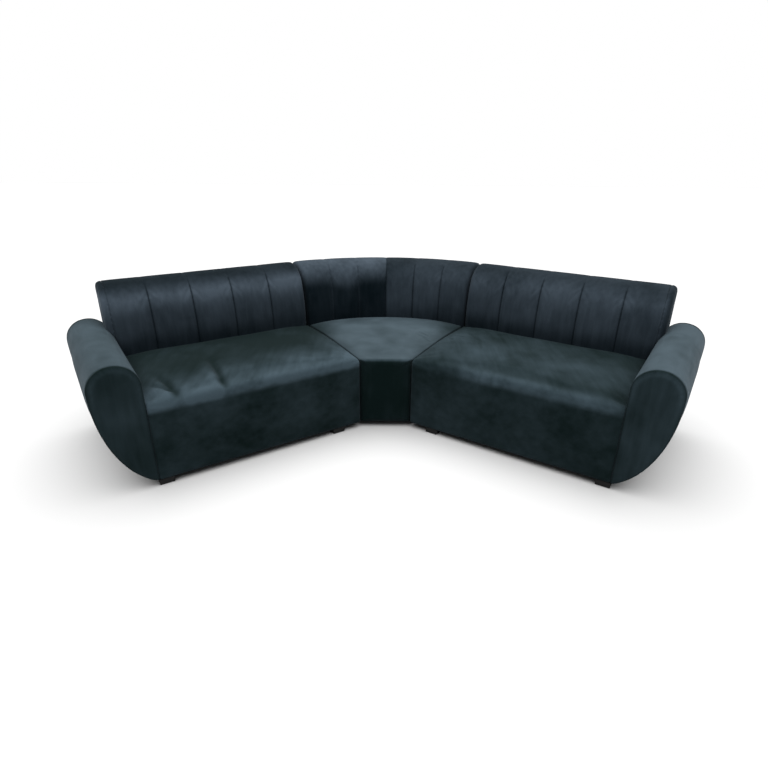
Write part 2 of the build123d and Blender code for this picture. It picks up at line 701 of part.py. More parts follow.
def corner_seat_section(angle, crown):
    """Outline of the corner seat in the upright plane at an angle; its front lies on the straight facing."""
    front = (APEX_TO_FRONT + CORNER_FACING + SOFT_GAP) / cos(radians(angle))
    rear = APEX_RADIUS + SEAT_DEPTH - SEAT_BACK_GAP
    front_height = CORNER_EDGE_HEIGHT - CORNER_EDGE_DROP
    rear_height = SEAT_HEIGHT - SEAT_CROWN + crown
    peak = Vector((front + rear) / 2, (front_height + rear_height) / 2 + CORNER_EDGE_RISE + crown / 2)
    edges = [
        Line((front, PAD_BASE), (front, front_height)),
        ThreePointArc((front, front_height), peak, (rear, rear_height)),
        Line((rear, rear_height), (rear, PAD_BASE)),
        Line((rear, PAD_BASE), (front, PAD_BASE)),
    ]
    return Rot(0, 0, -angle) * (Plane.YZ * make_face(edges))


def corner_seat_pad():
    steps = CORNER_CHANNELS
    sections = []
    for i in range(steps + 1):
        share = 2 * i / steps - 1
        sections.append(corner_seat_section(share * HALF_ANGLE, SEAT_CROWN * (1 - share**4)))
    return loft(sections) & corner_wedge(PAD_START)


def corner_back_pad():
    turn = WEDGE_ANGLE / CORNER_CHANNELS
    pad = Part()
    for i in range(CORNER_CHANNELS):
        sections = [
            Rot(0, 0, HALF_ANGLE - (i + share) * turn) * back_pad_section(crown, APEX_RADIUS)
            for share, crown in channel_crowns(i, CORNER_CHANNELS)
        ]
        pad = pad + loft(sections)
    return pad & corner_wedge(PAD_START)


def corner_covers():
    low = block(
        (-CORNER_FRONT_WIDTH, APEX_TO_FRONT, FRAME_BASE),
        (CORNER_FRONT_WIDTH, APEX_TO_FRONT + CORNER_FACING, CORNER_EDGE_HEIGHT),
    )
    facing = low & corner_wedge(PAD_START)
    front_edges = facing.faces().sort_by(Axis.Y)[0].edges()
    outside = rectangle_outline(REAR_FACE, MODULE_DEPTH, FRAME_BASE, RAIL_TOP_HEIGHT)
    reach = APEX_RADIUS + REAR_FACE
    plan = corner_disc(reach, FOOT_HEIGHT, FRAME_BASE)
    behind_facing = block(
        (-reach, APEX_TO_FRONT + CORNER_FACING, 0), (reach, 2 * reach, BACK_HEIGHT)
    )
    cover = plan & corner_wedge(LINING_INSET) & behind_facing
    seats = [place * FOOT_SCREW_SEAT for place in corner_foot_places()]
    return {
        "corner_front_facing": fillet(front_edges, CORNER_FACING_FILLET),
        "corner_outside_back": corner_ring(to_radius(outside)) & corner_wedge(LINING_INSET),
        "corner_dust_cover": drilled(cover, seats, FOOT_SCREW_LENGTH),
    }


def corner_hardware():
    pockets = [
        drilled(Pos(0, depth, 0) * connector_pocket(), pocket_screw_places(), BRACKET_SCREW_LENGTH)
        for depth in CONNECTOR_DEPTHS
    ]
    bracket_screws = [place * screw(BRACKET_SCREW_LENGTH) for place in pocket_screw_places()]
    foot_screws = [place * FOOT_SCREW_SEAT * screw(FOOT_SCREW_LENGTH) for place in corner_foot_places()]
    return {
        "corner_pockets": [side for pocket in pockets for side in on_both_sides(pocket)],
        "corner_feet": [place * foot() for place in corner_foot_places()],
        "corner_screws": foot_screws + [side for one in bracket_screws for side in on_both_sides(one)],
    }


def corner():
    """Every piece of the corner unit, by name."""
    return {
        **corner_frame(),
        **corner_webbing(),
        "corner_seat_pad": corner_seat_pad(),
        "corner_back_pad": corner_back_pad(),
        **corner_covers(),
        **corner_hardware(),
    }


def solids_of(piece):
    """The separate solids of one piece, or of a list of pieces."""
    pieces = piece if isinstance(piece, list) else [piece]
    return [solid for one in pieces for solid in one.solids()]


def sofa():
    """Every node of the sofa as a list of solids, with the origin on the floor at the middle of the plan."""
    nodes = {name: solids_of(piece) for name, piece in corner().items()}
    for name, piece in wing().items():
        right = [on_right(solid) for solid in solids_of(piece)]
        nodes["right_" + name] = right
        nodes["left_" + name] = [mirror(solid, about=Plane.YZ) for solid in right]
    box = Compound([solid for solids in nodes.values() for solid in solids]).bounding_box()
    to_origin = Pos(0, -(box.min.Y + box.max.Y) / 2, 0)
    return {name: [to_origin * solid for solid in solids] for name, solids in nodes.items()}


def main():
    os.makedirs("parts", exist_ok=True)
    for name, solids in sofa().items():
        shape = solids[0] if len(solids) == 1 else Compound(solids)
        export_step(shape, f"parts/{name}.step")


main()
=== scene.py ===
import json
import math

import bmesh
import bpy
import numpy as np
from mathutils import Matrix, Vector


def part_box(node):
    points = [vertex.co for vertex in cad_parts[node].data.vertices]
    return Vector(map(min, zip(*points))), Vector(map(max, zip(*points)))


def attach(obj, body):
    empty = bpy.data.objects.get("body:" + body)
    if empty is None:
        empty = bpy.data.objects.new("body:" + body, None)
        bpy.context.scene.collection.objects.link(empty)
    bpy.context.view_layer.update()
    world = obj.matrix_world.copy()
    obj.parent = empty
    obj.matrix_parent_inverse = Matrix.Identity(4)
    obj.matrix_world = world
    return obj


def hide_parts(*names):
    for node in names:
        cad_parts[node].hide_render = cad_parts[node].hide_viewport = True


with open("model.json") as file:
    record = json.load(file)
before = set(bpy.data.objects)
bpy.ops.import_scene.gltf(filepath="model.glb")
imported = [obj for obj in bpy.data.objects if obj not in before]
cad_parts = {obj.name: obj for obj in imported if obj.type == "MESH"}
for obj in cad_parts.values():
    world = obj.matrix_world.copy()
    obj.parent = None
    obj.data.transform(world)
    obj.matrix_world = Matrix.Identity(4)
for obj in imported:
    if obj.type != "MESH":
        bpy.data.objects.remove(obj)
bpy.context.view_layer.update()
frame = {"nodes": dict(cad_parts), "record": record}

# Corner sectional sofa in dark brushed velvet. All sizes are in metres.
# The velvet pieces of a wing are modelled once in the wing's own axes, X from the corner unit to the arm,
# Y from front to back and Z up, and then set on the right and, mirrored, on the left.
# The pieces of the corner unit are turned about its apex, where its two side planes meet.

# Plan, as in the solids
HALF_WEDGE = math.radians(33.75)
CORNER_FRONT_WIDTH = 0.250
MODULE_GAP = 0.010
APEX_RADIUS = CORNER_FRONT_WIDTH / 2 / math.sin(HALF_WEDGE)
APEX_TO_FRONT = APEX_RADIUS * math.cos(HALF_WEDGE)
FRONT_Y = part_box("corner_front_facing")[0].y
APEX = Vector((0, FRONT_Y - APEX_TO_FRONT, 0))
WING_ORIGIN = APEX + Vector(
    (
        CORNER_FRONT_WIDTH / 2 + MODULE_GAP * math.cos(HALF_WEDGE),
        APEX_TO_FRONT - MODULE_GAP * math.sin(HALF_WEDGE),
        0,
    )
)
WING_PLACE = Matrix.Translation(WING_ORIGIN) @ Matrix.Rotation(-HALF_WEDGE, 4, "Z")
MIRROR = Matrix.Scale(-1, 4, (1, 0, 0))

# How finely a form is divided: where it shows, where it shows little, and where it is hidden
PITCH = 0.008
PANEL_PITCH = 0.016
HIDDEN_PITCH = 0.05

# Seats
SEAT_RISE = 0.025
SEAT_PEAK = 0.002
SEAT_CROWN = 0.014
SEAT_CROWN_REAR = 0.015
SEAT_FRONT_CROWN = 0.004
SEAT_FRONT_EASE = 0.12
SEAT_BOW = 0.008
SEAT_ROLL = 0.030
SEAT_REAR_ROLL = 0.012
SEAT_HEM = 0.010
SEAT_END_ROUND = 0.010
SEAT_END_DRAW = 0.007
SEAT_END_REACH = 0.024
SEAT_END_FADE = 0.45
FRONT_PAD = 0.0297
CORNER_SEAT_ROLL = 0.010
CORNER_SEAT_BOW = 0.010
CORNER_SEAT_END_ROUND = 0.007
CORNER_SEAT_END_TURN = 0.04
CORNER_SEAT_SIDE = 0.03
CORNER_SEAT_SLACK = 0.004
CORNER_SEAT_CROWN_FRONT = 0.4
CORNER_SEAT_CROWN_REAR = 0.02
CORNER_SEAT_HELD = 0.03

# Backs
FACE_FOOT_HEIGHT = 0.480
FACE_LEAN = math.radians(17)
FOAM_FOOT = 0.083
FOAM_TOP = 0.048
FOAM_SLACK = 0.012
TOP_ROLL = 0.140
RIDGE = 0.792
RIDGE_INSET = 0.055
REAR_ROLL = 0.026
TOP_DROP = 0.005
BACK_END_ROUND = 0.022
BACK_SEWN_ROUND = 0.003
CHEEK_ROUND = 0.020
CORNER_BACK_SLACK = 0.002
WING_CHANNELS = 5
CORNER_CHANNELS = 6
CHANNEL_CROWN = 0.006
SEAM_HALF = 0.003
SEAM_DEPTH = 0.006
TOP_FADE_FROM = 0.745
TOP_FADE_TO = 0.788
TOP_KEPT = 0.15
PUCKER = 0.0012
PUCKER_LENGTH = 0.031
PUCKER_REACH = 0.11
PANEL_PUFF = 0.004
PANEL_END_ROUND = 0.003
PANEL_END = 0.008
PANEL_INSET = 0.006
SEWN_EDGE = 0.0008
SEWN_GAP = 0.0003
CORNER_PANEL_SLACK = 0.006

# Arms and facings
ARM_CENTRE_HEIGHT = 0.495
ARM_SOLE = 0.012
ARM_BOW_SHARE = 1.33
ARM_SEAM_ROUND = 0.008
ARM_GAP = 0.001
ARM_SQUEEZE = 0.09
ARM_HELD_REAR = 0.10
ARM_HELD_SHARE = 0.9
FACING_ROUND = 0.009
FACING_VOXEL = 0.006

# Velvet turned round the sides of the modules where they meet, in front of the linings
WRAP_THICKNESS = 0.0012
WRAP_INSET = 0.0004
WRAP_START = 0.012
WRAP_DEPTH = 0.075
WRAP_ROUND = 0.0003
WRAP_CORNER = -MODULE_GAP - WRAP_INSET - WRAP_THICKNESS

# Covers filled out by a cloth simulation, and how far a point of each may move
FRAMES = 20
PRESSURE = 4.0
CLOTH_QUALITY = 5
SEAT_SWELL = 0.008
FRONT_SWELL = 0.002
CORNER_SEAT_SWELL = 0.010
BACK_SWELL = 0.005
ARM_SWELL = 0.005
FACING_SWELL = 0.004
PANEL_SWELL = 0.004

# How near an end, a hem or a frame a point of a cover is held, and the room a rounded end takes
END_HOLD = 0.002
FRAME_HOLD = 0.005
HEM_HOLD = 0.012
END_ROOM = 1.3

# Folds pressed into the seats by use: start and end in plan, half width and depth.
# Those of a wing are in its own axes, those of the corner unit in the axes of the sofa.
# Painted shade in the folds: how much darker the colour gets per metre of a fold's depth
FOLD_SHADE = 60.0
LEFT_FOLDS = [
    ((0.965, 0.28), (0.915, -0.01), 0.020, 0.015),
    ((1.010, 0.16), (0.940, 0.05), 0.014, 0.009),
    ((0.690, 0.34), (0.715, -0.02), 0.019, 0.015),
]
RIGHT_FOLDS = [
    ((0.035, 0.35), (0.085, 0.31), 0.006, 0.003),
    ((0.045, 0.39), (0.125, 0.37), 0.006, 0.003),
    ((0.085, 0.47), (0.240, 0.34), 0.010, 0.003),
    ((0.400, 0.36), (0.500, 0.08), 0.022, 0.003),
    ((0.420, 0.58), (0.525, 0.31), 0.024, 0.003),
    ((0.385, 0.05), (0.395, -0.03), 0.010, 0.003),
    ((0.445, 0.04), (0.460, -0.04), 0.010, 0.003),
    ((0.500, 0.03), (0.520, -0.04), 0.010, 0.003),
]
CORNER_FOLDS = [
    ((0.180, 0.270), (0.250, 0.200), 0.006, 0.003),
    ((0.175, 0.225), (0.240, 0.165), 0.006, 0.003),
    ((0.205, 0.185), (0.255, 0.130), 0.006, 0.002),
]


# Boxes of the solids, in a wing's own axes
def wing_box(node):
    """Lowest and highest corner of a right-hand node, in the wing's axes."""
    inverse = WING_PLACE.inverted()
    points = np.array([inverse @ v.co for v in frame["nodes"]["right_" + node].data.vertices])
    return Vector(points.min(0)), Vector(points.max(0))


SEAT_LOW, SEAT_HIGH = wing_box("seat_pad")
BACK_LOW, BACK_HIGH = wing_box("back_pad")
ARM_LOW, ARM_HIGH = wing_box("arm_pad")
PANEL_LOW, PANEL_HIGH = wing_box("outside_back")
BASE = SEAT_LOW.z
DECK = BACK_LOW.z
SEAT_REAR = SEAT_HIGH.y
SEAT_EDGE = SEAT_HIGH.z - SEAT_PEAK - SEAT_CROWN - SEAT_RISE
REAR = BACK_HIGH.y
RAIL_TOP = PANEL_HIGH.z
FACE_FOOT = Vector((BACK_LOW.y + CHANNEL_CROWN, FACE_FOOT_HEIGHT))
CORNER_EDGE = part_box("corner_front_facing")[1].z
CORNER_SEAT_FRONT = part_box("corner_seat_pad")[0].y - APEX.y


# Outlines, as lists of 2-D points
def straight(a, b, pitch=PITCH):
    """Points from a towards b, without b."""
    a, b = Vector(a), Vector(b)
    count = max(1, round((b - a).length / pitch))
    return [a.lerp(b, i / count) for i in range(count)]


def turned(centre, radius, start, end, pitch=PITCH):
    """Points on an arc from one angle towards another, in degrees, without the last."""
    count = max(2, round(math.radians(abs(end - start)) * radius / pitch))
    angles = [math.radians(start + (end - start) * i / count) for i in range(count)]
    return [Vector(centre) + radius * Vector((math.cos(a), math.sin(a))) for a in angles]


def bowed(a, b, sagitta, pitch=PITCH):
    """Points on a shallow arc from a towards b that swells to the left, without b."""
    a, b = Vector(a), Vector(b)
    chord = b - a
    radius = (chord.length**2 / 4 + sagitta**2) / (2 * sagitta)
    left = Vector((-chord.y, chord.x)).normalized()
    centre = (a + b) / 2 - left * (radius - sagitta)
    half = math.degrees(math.asin(chord.length / 2 / radius))
    middle = math.degrees(math.atan2(left.y, left.x))
    return turned(centre, radius, middle + half, middle - half, pitch)


def seat_outline():
    """Waterfall seat of a wing, in (y, z): hem, front, roll, top, then the hidden rear and underside."""
    roll_foot = SEAT_EDGE - SEAT_ROLL
    rear_edge = SEAT_EDGE + SEAT_RISE
    rear_foot = rear_edge - SEAT_REAR_ROLL
    top_rear = SEAT_REAR - SEAT_REAR_ROLL
    return [
        *straight((FRONT_PAD, BASE), (SEAT_HEM, BASE)),
        *turned((SEAT_HEM, BASE + SEAT_HEM), SEAT_HEM, 270, 180),
        *straight((0, BASE + SEAT_HEM), (0, roll_foot)),
        *turned((SEAT_ROLL, roll_foot), SEAT_ROLL, 180, 90),
        *bowed((SEAT_ROLL, SEAT_EDGE), (top_rear, rear_edge), SEAT_BOW),
        *turned((top_rear, rear_foot), SEAT_REAR_ROLL, 90, 0),
        *straight((SEAT_REAR, rear_foot), (SEAT_REAR, DECK), HIDDEN_PITCH),
        *straight((SEAT_REAR, DECK), (FRONT_PAD, DECK), HIDDEN_PITCH),
        *straight((FRONT_PAD, DECK), (FRONT_PAD, BASE), HIDDEN_PITCH),
    ]


def corner_seat_outline():
    """Seat of the corner unit at its middle, in (distance from the apex, z)."""
    front, rear = CORNER_SEAT_FRONT, APEX_RADIUS + SEAT_REAR
    roll = CORNER_SEAT_ROLL
    edge = CORNER_EDGE - 2 * ARM_GAP
    rear_edge = SEAT_EDGE + SEAT_RISE
    rear_foot = rear_edge - SEAT_REAR_ROLL
    return [
        *straight((front, DECK), (front, edge - roll), HIDDEN_PITCH),
        *turned((front + roll, edge - roll), roll, 180, 90, PITCH / 2),
        *bowed((front + roll, edge), (rear - SEAT_REAR_ROLL, rear_edge), CORNER_SEAT_BOW),
        *turned((rear - SEAT_REAR_ROLL, rear_foot), SEAT_REAR_ROLL, 90, 0),
        *straight((rear, rear_foot), (rear, DECK), HIDDEN_PITCH),
        *straight((rear, DECK), (front, DECK), HIDDEN_PITCH),
    ]


def back_cover():
    """Padded back where its cover shows, in (y, z): arched face, top roll and rear roll."""
    roll_centre = Vector((REAR - RIDGE_INSET, RIDGE - TOP_ROLL))
    face_top = roll_centre + TOP_ROLL * Vector((-math.cos(FACE_LEAN), math.sin(FACE_LEAN)))
    chord = face_top - FACE_FOOT
    half_turn = FACE_LEAN - math.atan2(chord.x, chord.y)
    sagitta = chord.length / 2 * math.tan(half_turn / 2)
    rear_centre = (REAR - REAR_ROLL, RIDGE - TOP_DROP - REAR_ROLL)
    return [
        *bowed(FACE_FOOT, face_top, sagitta),
        *turned(roll_centre, TOP_ROLL, 180 - math.degrees(FACE_LEAN), 90),
        *straight((roll_centre.x, RIDGE), (rear_centre[0], RIDGE - TOP_DROP)),
        *turned(rear_centre, REAR_ROLL, 90, 0),
        *straight((REAR, rear_centre[1]), (REAR, RAIL_TOP + ARM_GAP + SEWN_EDGE)),
        Vector((REAR, RAIL_TOP + ARM_GAP + SEWN_EDGE)),
        Vector((REAR, RAIL_TOP + ARM_GAP)),
    ]


def back_outline():
    """Padded back, in (y, z): upright foot, the cover that shows, then the side on the leaning frame."""
    behind_foot = (BACK_LOW.y + FOAM_FOOT, DECK)
    behind_top = (REAR - FOAM_TOP, RAIL_TOP + ARM_GAP)
    return [
        *straight((FACE_FOOT.x, DECK), FACE_FOOT),
        *back_cover(),
        *straight((REAR - SEWN_EDGE, RAIL_TOP + ARM_GAP), behind_top, HIDDEN_PITCH),
        *straight(behind_top, behind_foot, HIDDEN_PITCH),
        *straight(behind_foot, (FACE_FOOT.x, DECK), HIDDEN_PITCH),
    ]


def cheek_outline():
    """Outer end of a wing's back, in (y, z), up to the panel behind it."""
    rear = PANEL_LOW.y - ARM_GAP
    return [
        *back_cover(),
        *straight((REAR - SEWN_EDGE, RAIL_TOP + ARM_GAP), (rear, RAIL_TOP + ARM_GAP)),
        *straight((rear, RAIL_TOP + ARM_GAP), (rear, FACE_FOOT_HEIGHT)),
        *straight((rear, FACE_FOOT_HEIGHT), FACE_FOOT),
    ]


def arm_outline():
    """Arm section, in (x, z): upright inside, half-round top, bowed outer side and narrow sole."""
    inside, outside = ARM_LOW.x, ARM_HIGH.x
    radius = (outside - inside) / 2
    across = ARM_BOW_SHARE * (outside - inside)
    at_sole = 1 - (outside - inside - ARM_SOLE) / across
    down = (ARM_CENTRE_HEIGHT - BASE) / math.sqrt(1 - at_sole**2)
    bow = turned((0, 0), 1, 0, -math.degrees(math.acos(at_sole)), PITCH / across)
    return [
        *straight((inside, BASE), (inside, ARM_CENTRE_HEIGHT)),
        *turned((inside + radius, ARM_CENTRE_HEIGHT), radius, 180, 0),
        *[Vector((outside - across + across * u, ARM_CENTRE_HEIGHT + down * v)) for u, v in bow],
        Vector((inside + ARM_SOLE, BASE)),
    ]


def panel_outline():
    """Panel across the rear of a module, in (y, z), swelling a little to the rear."""
    front, foot = PANEL_LOW.y, PANEL_LOW.z
    rear = PANEL_HIGH.y - PANEL_PUFF
    top = RAIL_TOP + ARM_GAP - SEWN_GAP
    return [
        *straight((front, foot), (front, top), HIDDEN_PITCH),
        *straight((front, top), (rear - SEWN_EDGE, top), HIDDEN_PITCH),
        Vector((rear - SEWN_EDGE, top)),
        Vector((rear, top)),
        *bowed((rear, top - SEWN_EDGE), (rear, foot), PANEL_PUFF, PANEL_PITCH),
        *straight((rear, foot), (front, foot), HIDDEN_PITCH),
    ]


# Planes that an outline is drawn in
def plane_at_x(x):
    return lambda y, z: Vector((x, y, z))


def plane_at_y(y):
    return lambda x, z: Vector((x, y, z))


def plane_at_turn(angle, start=0.0):
    """Upright plane through the apex; its first coordinate counts from a distance out from the apex."""
    outwards = Vector((-math.sin(angle), math.cos(angle), 0))
    return lambda out, z: APEX + (start + out) * outwards + Vector((0, 0, z))


# Forms made from an outline
def soften(bm, edges, rounding, segments=4):
    """Rounds edges."""
    bmesh.ops.bevel(
        bm, geom=edges, offset=rounding, offset_type="OFFSET", segments=segments, profile=0.5,
        affect="EDGES", material=-1,
    )


def swept(outline, plane, runs, end_round, last_round=None):
    """A closed form: an outline carried along runs of (turn about the apex, shift, steps).

    Both ends are rounded alike, or the last one by an amount of its own.
    """
    bm = bmesh.new()
    verts = [bm.verts.new(plane(u, v)) for u, v in outline]
    first = [bm.edges.new(pair) for pair in zip(verts, verts[1:] + verts[:1])]
    last = first
    for angle, shift, steps in runs:
        made = bmesh.ops.spin(
            bm, geom=last, cent=APEX, axis=(0, 0, 1), dvec=Vector(shift) / steps, angle=angle, steps=steps
        )
        last = [e for e in made["geom_last"] if isinstance(e, bmesh.types.BMEdge)]
    for ring in (first, last):
        bmesh.ops.edgeloop_fill(bm, edges=ring)
    bmesh.ops.recalc_face_normals(bm, faces=bm.faces)
    for ring, rounding in ((first, end_round), (last, last_round or end_round)):
        soften(bm, ring, rounding)
    bmesh.ops.triangulate(bm, faces=[f for f in bm.faces if len(f.verts) > 4])
    return bm


def even_runs(length, end, pitch, to_run):
    """Runs over a length, with one wide step at each end that leaves room for the rounding."""
    middle = length - 2 * end
    return [to_run(end, 1), to_run(middle, max(1, round(middle / pitch))), to_run(end, 1)]


def channel_runs(width, count, end, seam, pitch, to_run, short=0.0):
    """Runs across sewn channels, with a narrow step on each side of a seam and a wide one at each end.

    The last channel is short of the others by an amount.
    """
    runs = []
    for i in range(count):
        before = end if i == 0 else seam
        after = end + short if i == count - 1 else seam
        middle = width - before - after
        runs += [to_run(before, 1), to_run(middle, round(middle / pitch))]
        runs += [to_run(end if i == count - 1 else seam, 1)]
    return runs


def along_x(length, steps):
    return 0, (length, 0, 0), steps


def along_y(length, steps):
    return 0, (0, length, 0), steps


def about_apex(angle, steps):
    return -angle, (0, 0, 0), steps


def panel(name, outline, plane, depth, rounding=FACING_ROUND, taper=0.0):
    """A flat panel, carried in by a depth, with soft outer edges; taper widens it in X towards its rear."""
    bm = bmesh.new()
    face = bm.faces.new([bm.verts.new(plane(u, v)) for u, v in outline])
    rim = list(face.edges)
    made = bmesh.ops.extrude_face_region(bm, geom=[face])["geom"]
    rear = [v for v in made if isinstance(v, bmesh.types.BMVert)]
    bmesh.ops.translate(bm, verts=rear, vec=depth)
    for v in rear:
        v.co.x += math.copysign(taper, v.co.x) if taper else 0
    bmesh.ops.recalc_face_normals(bm, faces=bm.faces)
    soften(bm, rim, rounding)
    obj = object_of(name, bm)
    even = obj.modifiers.new("even", "REMESH")
    even.mode = "VOXEL"
    even.voxel_size = FACING_VOXEL
    apply_modifiers(obj)
    return obj


# Meshes as arrays
def object_of(name, bm):
    mesh = bpy.data.meshes.new(name)
    bm.to_mesh(mesh)
    bm.free()
    obj = bpy.data.objects.new(name, mesh)
    bpy.context.scene.collection.objects.link(obj)
    return obj


def apply_modifiers(obj):
    graph = bpy.context.evaluated_depsgraph_get()
    mesh = bpy.data.meshes.new_from_object(obj.evaluated_get(graph))
    obj.modifiers.clear()
    obj.data = mesh


def points_of(mesh):
    points = np.empty(len(mesh.vertices) * 3)
    mesh.vertices.foreach_get("co", points)
    return points.reshape(-1, 3)


def normals_of(mesh):
    normals = np.empty(len(mesh.vertices) * 3)
    mesh.vertex_normals.foreach_get("vector", normals)
    return normals.reshape(-1, 3)


def set_points(mesh, points):
    mesh.vertices.foreach_set("co", points.ravel())
    mesh.update()


def push_out(mesh, amount):
    """Moves each point along its normal by its own amount."""
    set_points(mesh, points_of(mesh) + normals_of(mesh) * amount[:, None])


def ease(x, low, high):
    """0 below low, 1 above high, and a smooth rise between them."""
    share = np.clip((x - low) / (high - low), 0, 1)
    return share * share * (3 - 2 * share)


def hump(x, middle, reach):
    """1 at the middle, falling smoothly to nothing over about twice the reach on each side."""
    return np.exp(-(((x - middle) / reach) ** 2))


def about(points):
    """Share of the wedge from its left side, distance behind the front corner, and height."""
    x, y, z = (points - np.array(APEX)).T
    angle = np.arctan2(-x, y)
    return (HALF_WEDGE - angle) / (2 * HALF_WEDGE), np.hypot(x, y) - APEX_RADIUS, z


# Soft pieces: each function returns the piece, the points where its cover is held,
# and how far the other points may move
def wing_seat():
    low, high = SEAT_LOW.x, SEAT_HIGH.x
    runs = even_runs(high - low, SEAT_END_ROUND * END_ROOM, PITCH, along_x)
    seat = object_of("seat", swept(seat_outline(), plane_at_x(low), runs, SEAT_END_ROUND))
    x, y, z = points_of(seat.data).T
    across = 1 - np.abs(2 * (x - low) / (high - low) - 1) ** 6
    on_top = ease(z, SEAT_EDGE - SEAT_ROLL, SEAT_EDGE) * ease(SEAT_REAR - y, 0, SEAT_CROWN_REAR)
    on_front = ease(z, BASE, BASE + SEAT_FRONT_EASE) * ease(FRONT_PAD - y, 0, FRONT_PAD)
    hidden = (y > FRONT_PAD - END_HOLD) & (z < SEAT_EDGE - SEAT_ROLL)
    crown = across * np.maximum(SEAT_CROWN * on_top, SEAT_FRONT_CROWN * on_front)
    near_front = ease(SEAT_END_FADE - y, 0, SEAT_END_FADE)
    crown -= SEAT_END_DRAW * on_top * hump(x, low, SEAT_END_REACH) * near_front
    push_out(seat.data, np.where(hidden, 0, crown))
    held = hidden | (z < BASE + HEM_HOLD) | (y > SEAT_REAR - HEM_HOLD)
    held |= (x < low + END_HOLD) | (x > high - END_HOLD)
    return seat, held, FRONT_SWELL + (SEAT_SWELL - FRONT_SWELL) * on_top


def corner_seat():
    turn = 2 * HALF_WEDGE - CORNER_SEAT_SLACK
    runs = even_runs(turn, CORNER_SEAT_END_TURN, PITCH * 1.5, about_apex)
    outline = corner_seat_outline()
    seat = object_of("corner_seat", swept(outline, plane_at_turn(turn / 2), runs, CORNER_SEAT_END_ROUND))
    points = points_of(seat.data)
    x, y, z = (points - np.array(APEX)).T
    angle, radius = np.arctan2(-x, y), np.hypot(x, y)
    rear = APEX_RADIUS + SEAT_REAR
    depth = (radius - CORNER_SEAT_FRONT) / (rear - CORNER_SEAT_FRONT)
    front = CORNER_SEAT_FRONT / np.cos(angle)
    radius = front + depth * (rear - front)
    across = 1 - np.abs(angle / (turn / 2)) ** 4
    from_front = ease(depth, 0, CORNER_SEAT_CROWN_FRONT)
    from_rear = ease(1 - depth, 0, CORNER_SEAT_CROWN_REAR)
    on_top = ease(z, CORNER_EDGE - CORNER_SEAT_SIDE, CORNER_EDGE) * from_front * from_rear
    lift = SEAT_CROWN * across * on_top
    points = np.stack([-radius * np.sin(angle), radius * np.cos(angle), z + lift], 1) + np.array(APEX)
    set_points(seat.data, points)
    hidden = z < CORNER_EDGE - CORNER_SEAT_SIDE
    held = hidden | (np.abs(angle) > turn / 2 - CORNER_SEAT_SLACK)
    held |= (depth < CORNER_SEAT_HELD) | (depth > 1 - CORNER_SEAT_HELD)
    return seat, held, CORNER_SEAT_SWELL


def channels(share, count):
    """Swell of a channelled face, from 0 on a seam to 1 between seams."""
    return (1 - (2 * ((share * count) % 1) - 1) ** 2) ** 0.7


def from_seam(share, count):
    """Distance to the nearest seam between channels, in channel widths."""
    nearest = np.clip(np.round(share * count), 1, count - 1)
    return np.abs(share * count - nearest)


def on_frame(y, z):
    """Points of a padded back that lie on its frame."""
    foot = BACK_LOW.y + FOAM_FOOT - FOAM_SLACK
    lean = (REAR - FOAM_TOP - BACK_LOW.y - FOAM_FOOT) / (RAIL_TOP - DECK)
    behind = y - foot > (z - DECK) * lean
    return (behind & (z < RAIL_TOP + FRAME_HOLD)) | (z < DECK + END_HOLD)


def below_top(z):
    """How much of a channel's swell is left at a height: all on the face, little over the top roll."""
    return 1 - (1 - TOP_KEPT) * ease(z, TOP_FADE_FROM, TOP_FADE_TO)


def puckers(share, z, count):
    """Short wrinkles that run out from the seams, of uneven length and spacing."""
    seam = np.round(share * count)
    wave = np.sin(math.tau * z / PUCKER_LENGTH + 2.1 * seam + 2 * np.sin(37 * z + 1.7 * seam))
    return wave * np.exp(-from_seam(share, count) / PUCKER_REACH) * ease(z, FACE_FOOT_HEIGHT, RIDGE)


def quilted(back, share, y, z, count, seam):
    """Swells the channels and draws in the seams; returns the points on the frame and on the seams."""
    hidden = on_frame(y, z)
    seams = (from_seam(share, count) < seam) & ~hidden
    amount = (CHANNEL_CROWN * channels(share, count) - SEAM_DEPTH * seams) * below_top(z)
    amount += PUCKER * puckers(share, z, count)
    push_out(back.data, np.where(hidden, 0, amount))
    return hidden | seams


def wing_back():
    low, high = BACK_LOW.x, BACK_HIGH.x
    width = (high - low) / WING_CHANNELS
    short = high - ARM_LOW.x + ARM_GAP
    runs = channel_runs(width, WING_CHANNELS, BACK_END_ROUND * END_ROOM, SEAM_HALF, PITCH, along_x, short)
    ends = BACK_END_ROUND, BACK_SEWN_ROUND
    back = object_of("back", swept(back_outline(), plane_at_x(low), runs, *ends))
    x, y, z = points_of(back.data).T
    held = quilted(back, (x - low) / (high - low), y, z, WING_CHANNELS, SEAM_HALF / width / 4)
    held |= (x < low + END_HOLD) | (x > high - short - END_HOLD)
    return back, held, BACK_SWELL * below_top(z)


def corner_back():
    turn = 2 * HALF_WEDGE - CORNER_BACK_SLACK
    width = turn / CORNER_CHANNELS
    reach = APEX_RADIUS + FACE_FOOT.x
    end = BACK_END_ROUND * END_ROOM**2 / reach
    runs = channel_runs(width, CORNER_CHANNELS, end, SEAM_HALF / reach, PITCH / reach, about_apex)
    plane = plane_at_turn(turn / 2, APEX_RADIUS)
    back = object_of("corner_back", swept(back_outline(), plane, runs, BACK_END_ROUND))
    share, y, z = about(points_of(back.data))
    held = quilted(back, share, y, z, CORNER_CHANNELS, SEAM_HALF / reach / width / 4)
    held |= (share < END_HOLD) | (share > 1 - END_HOLD)
    return back, held, BACK_SWELL * below_top(z)


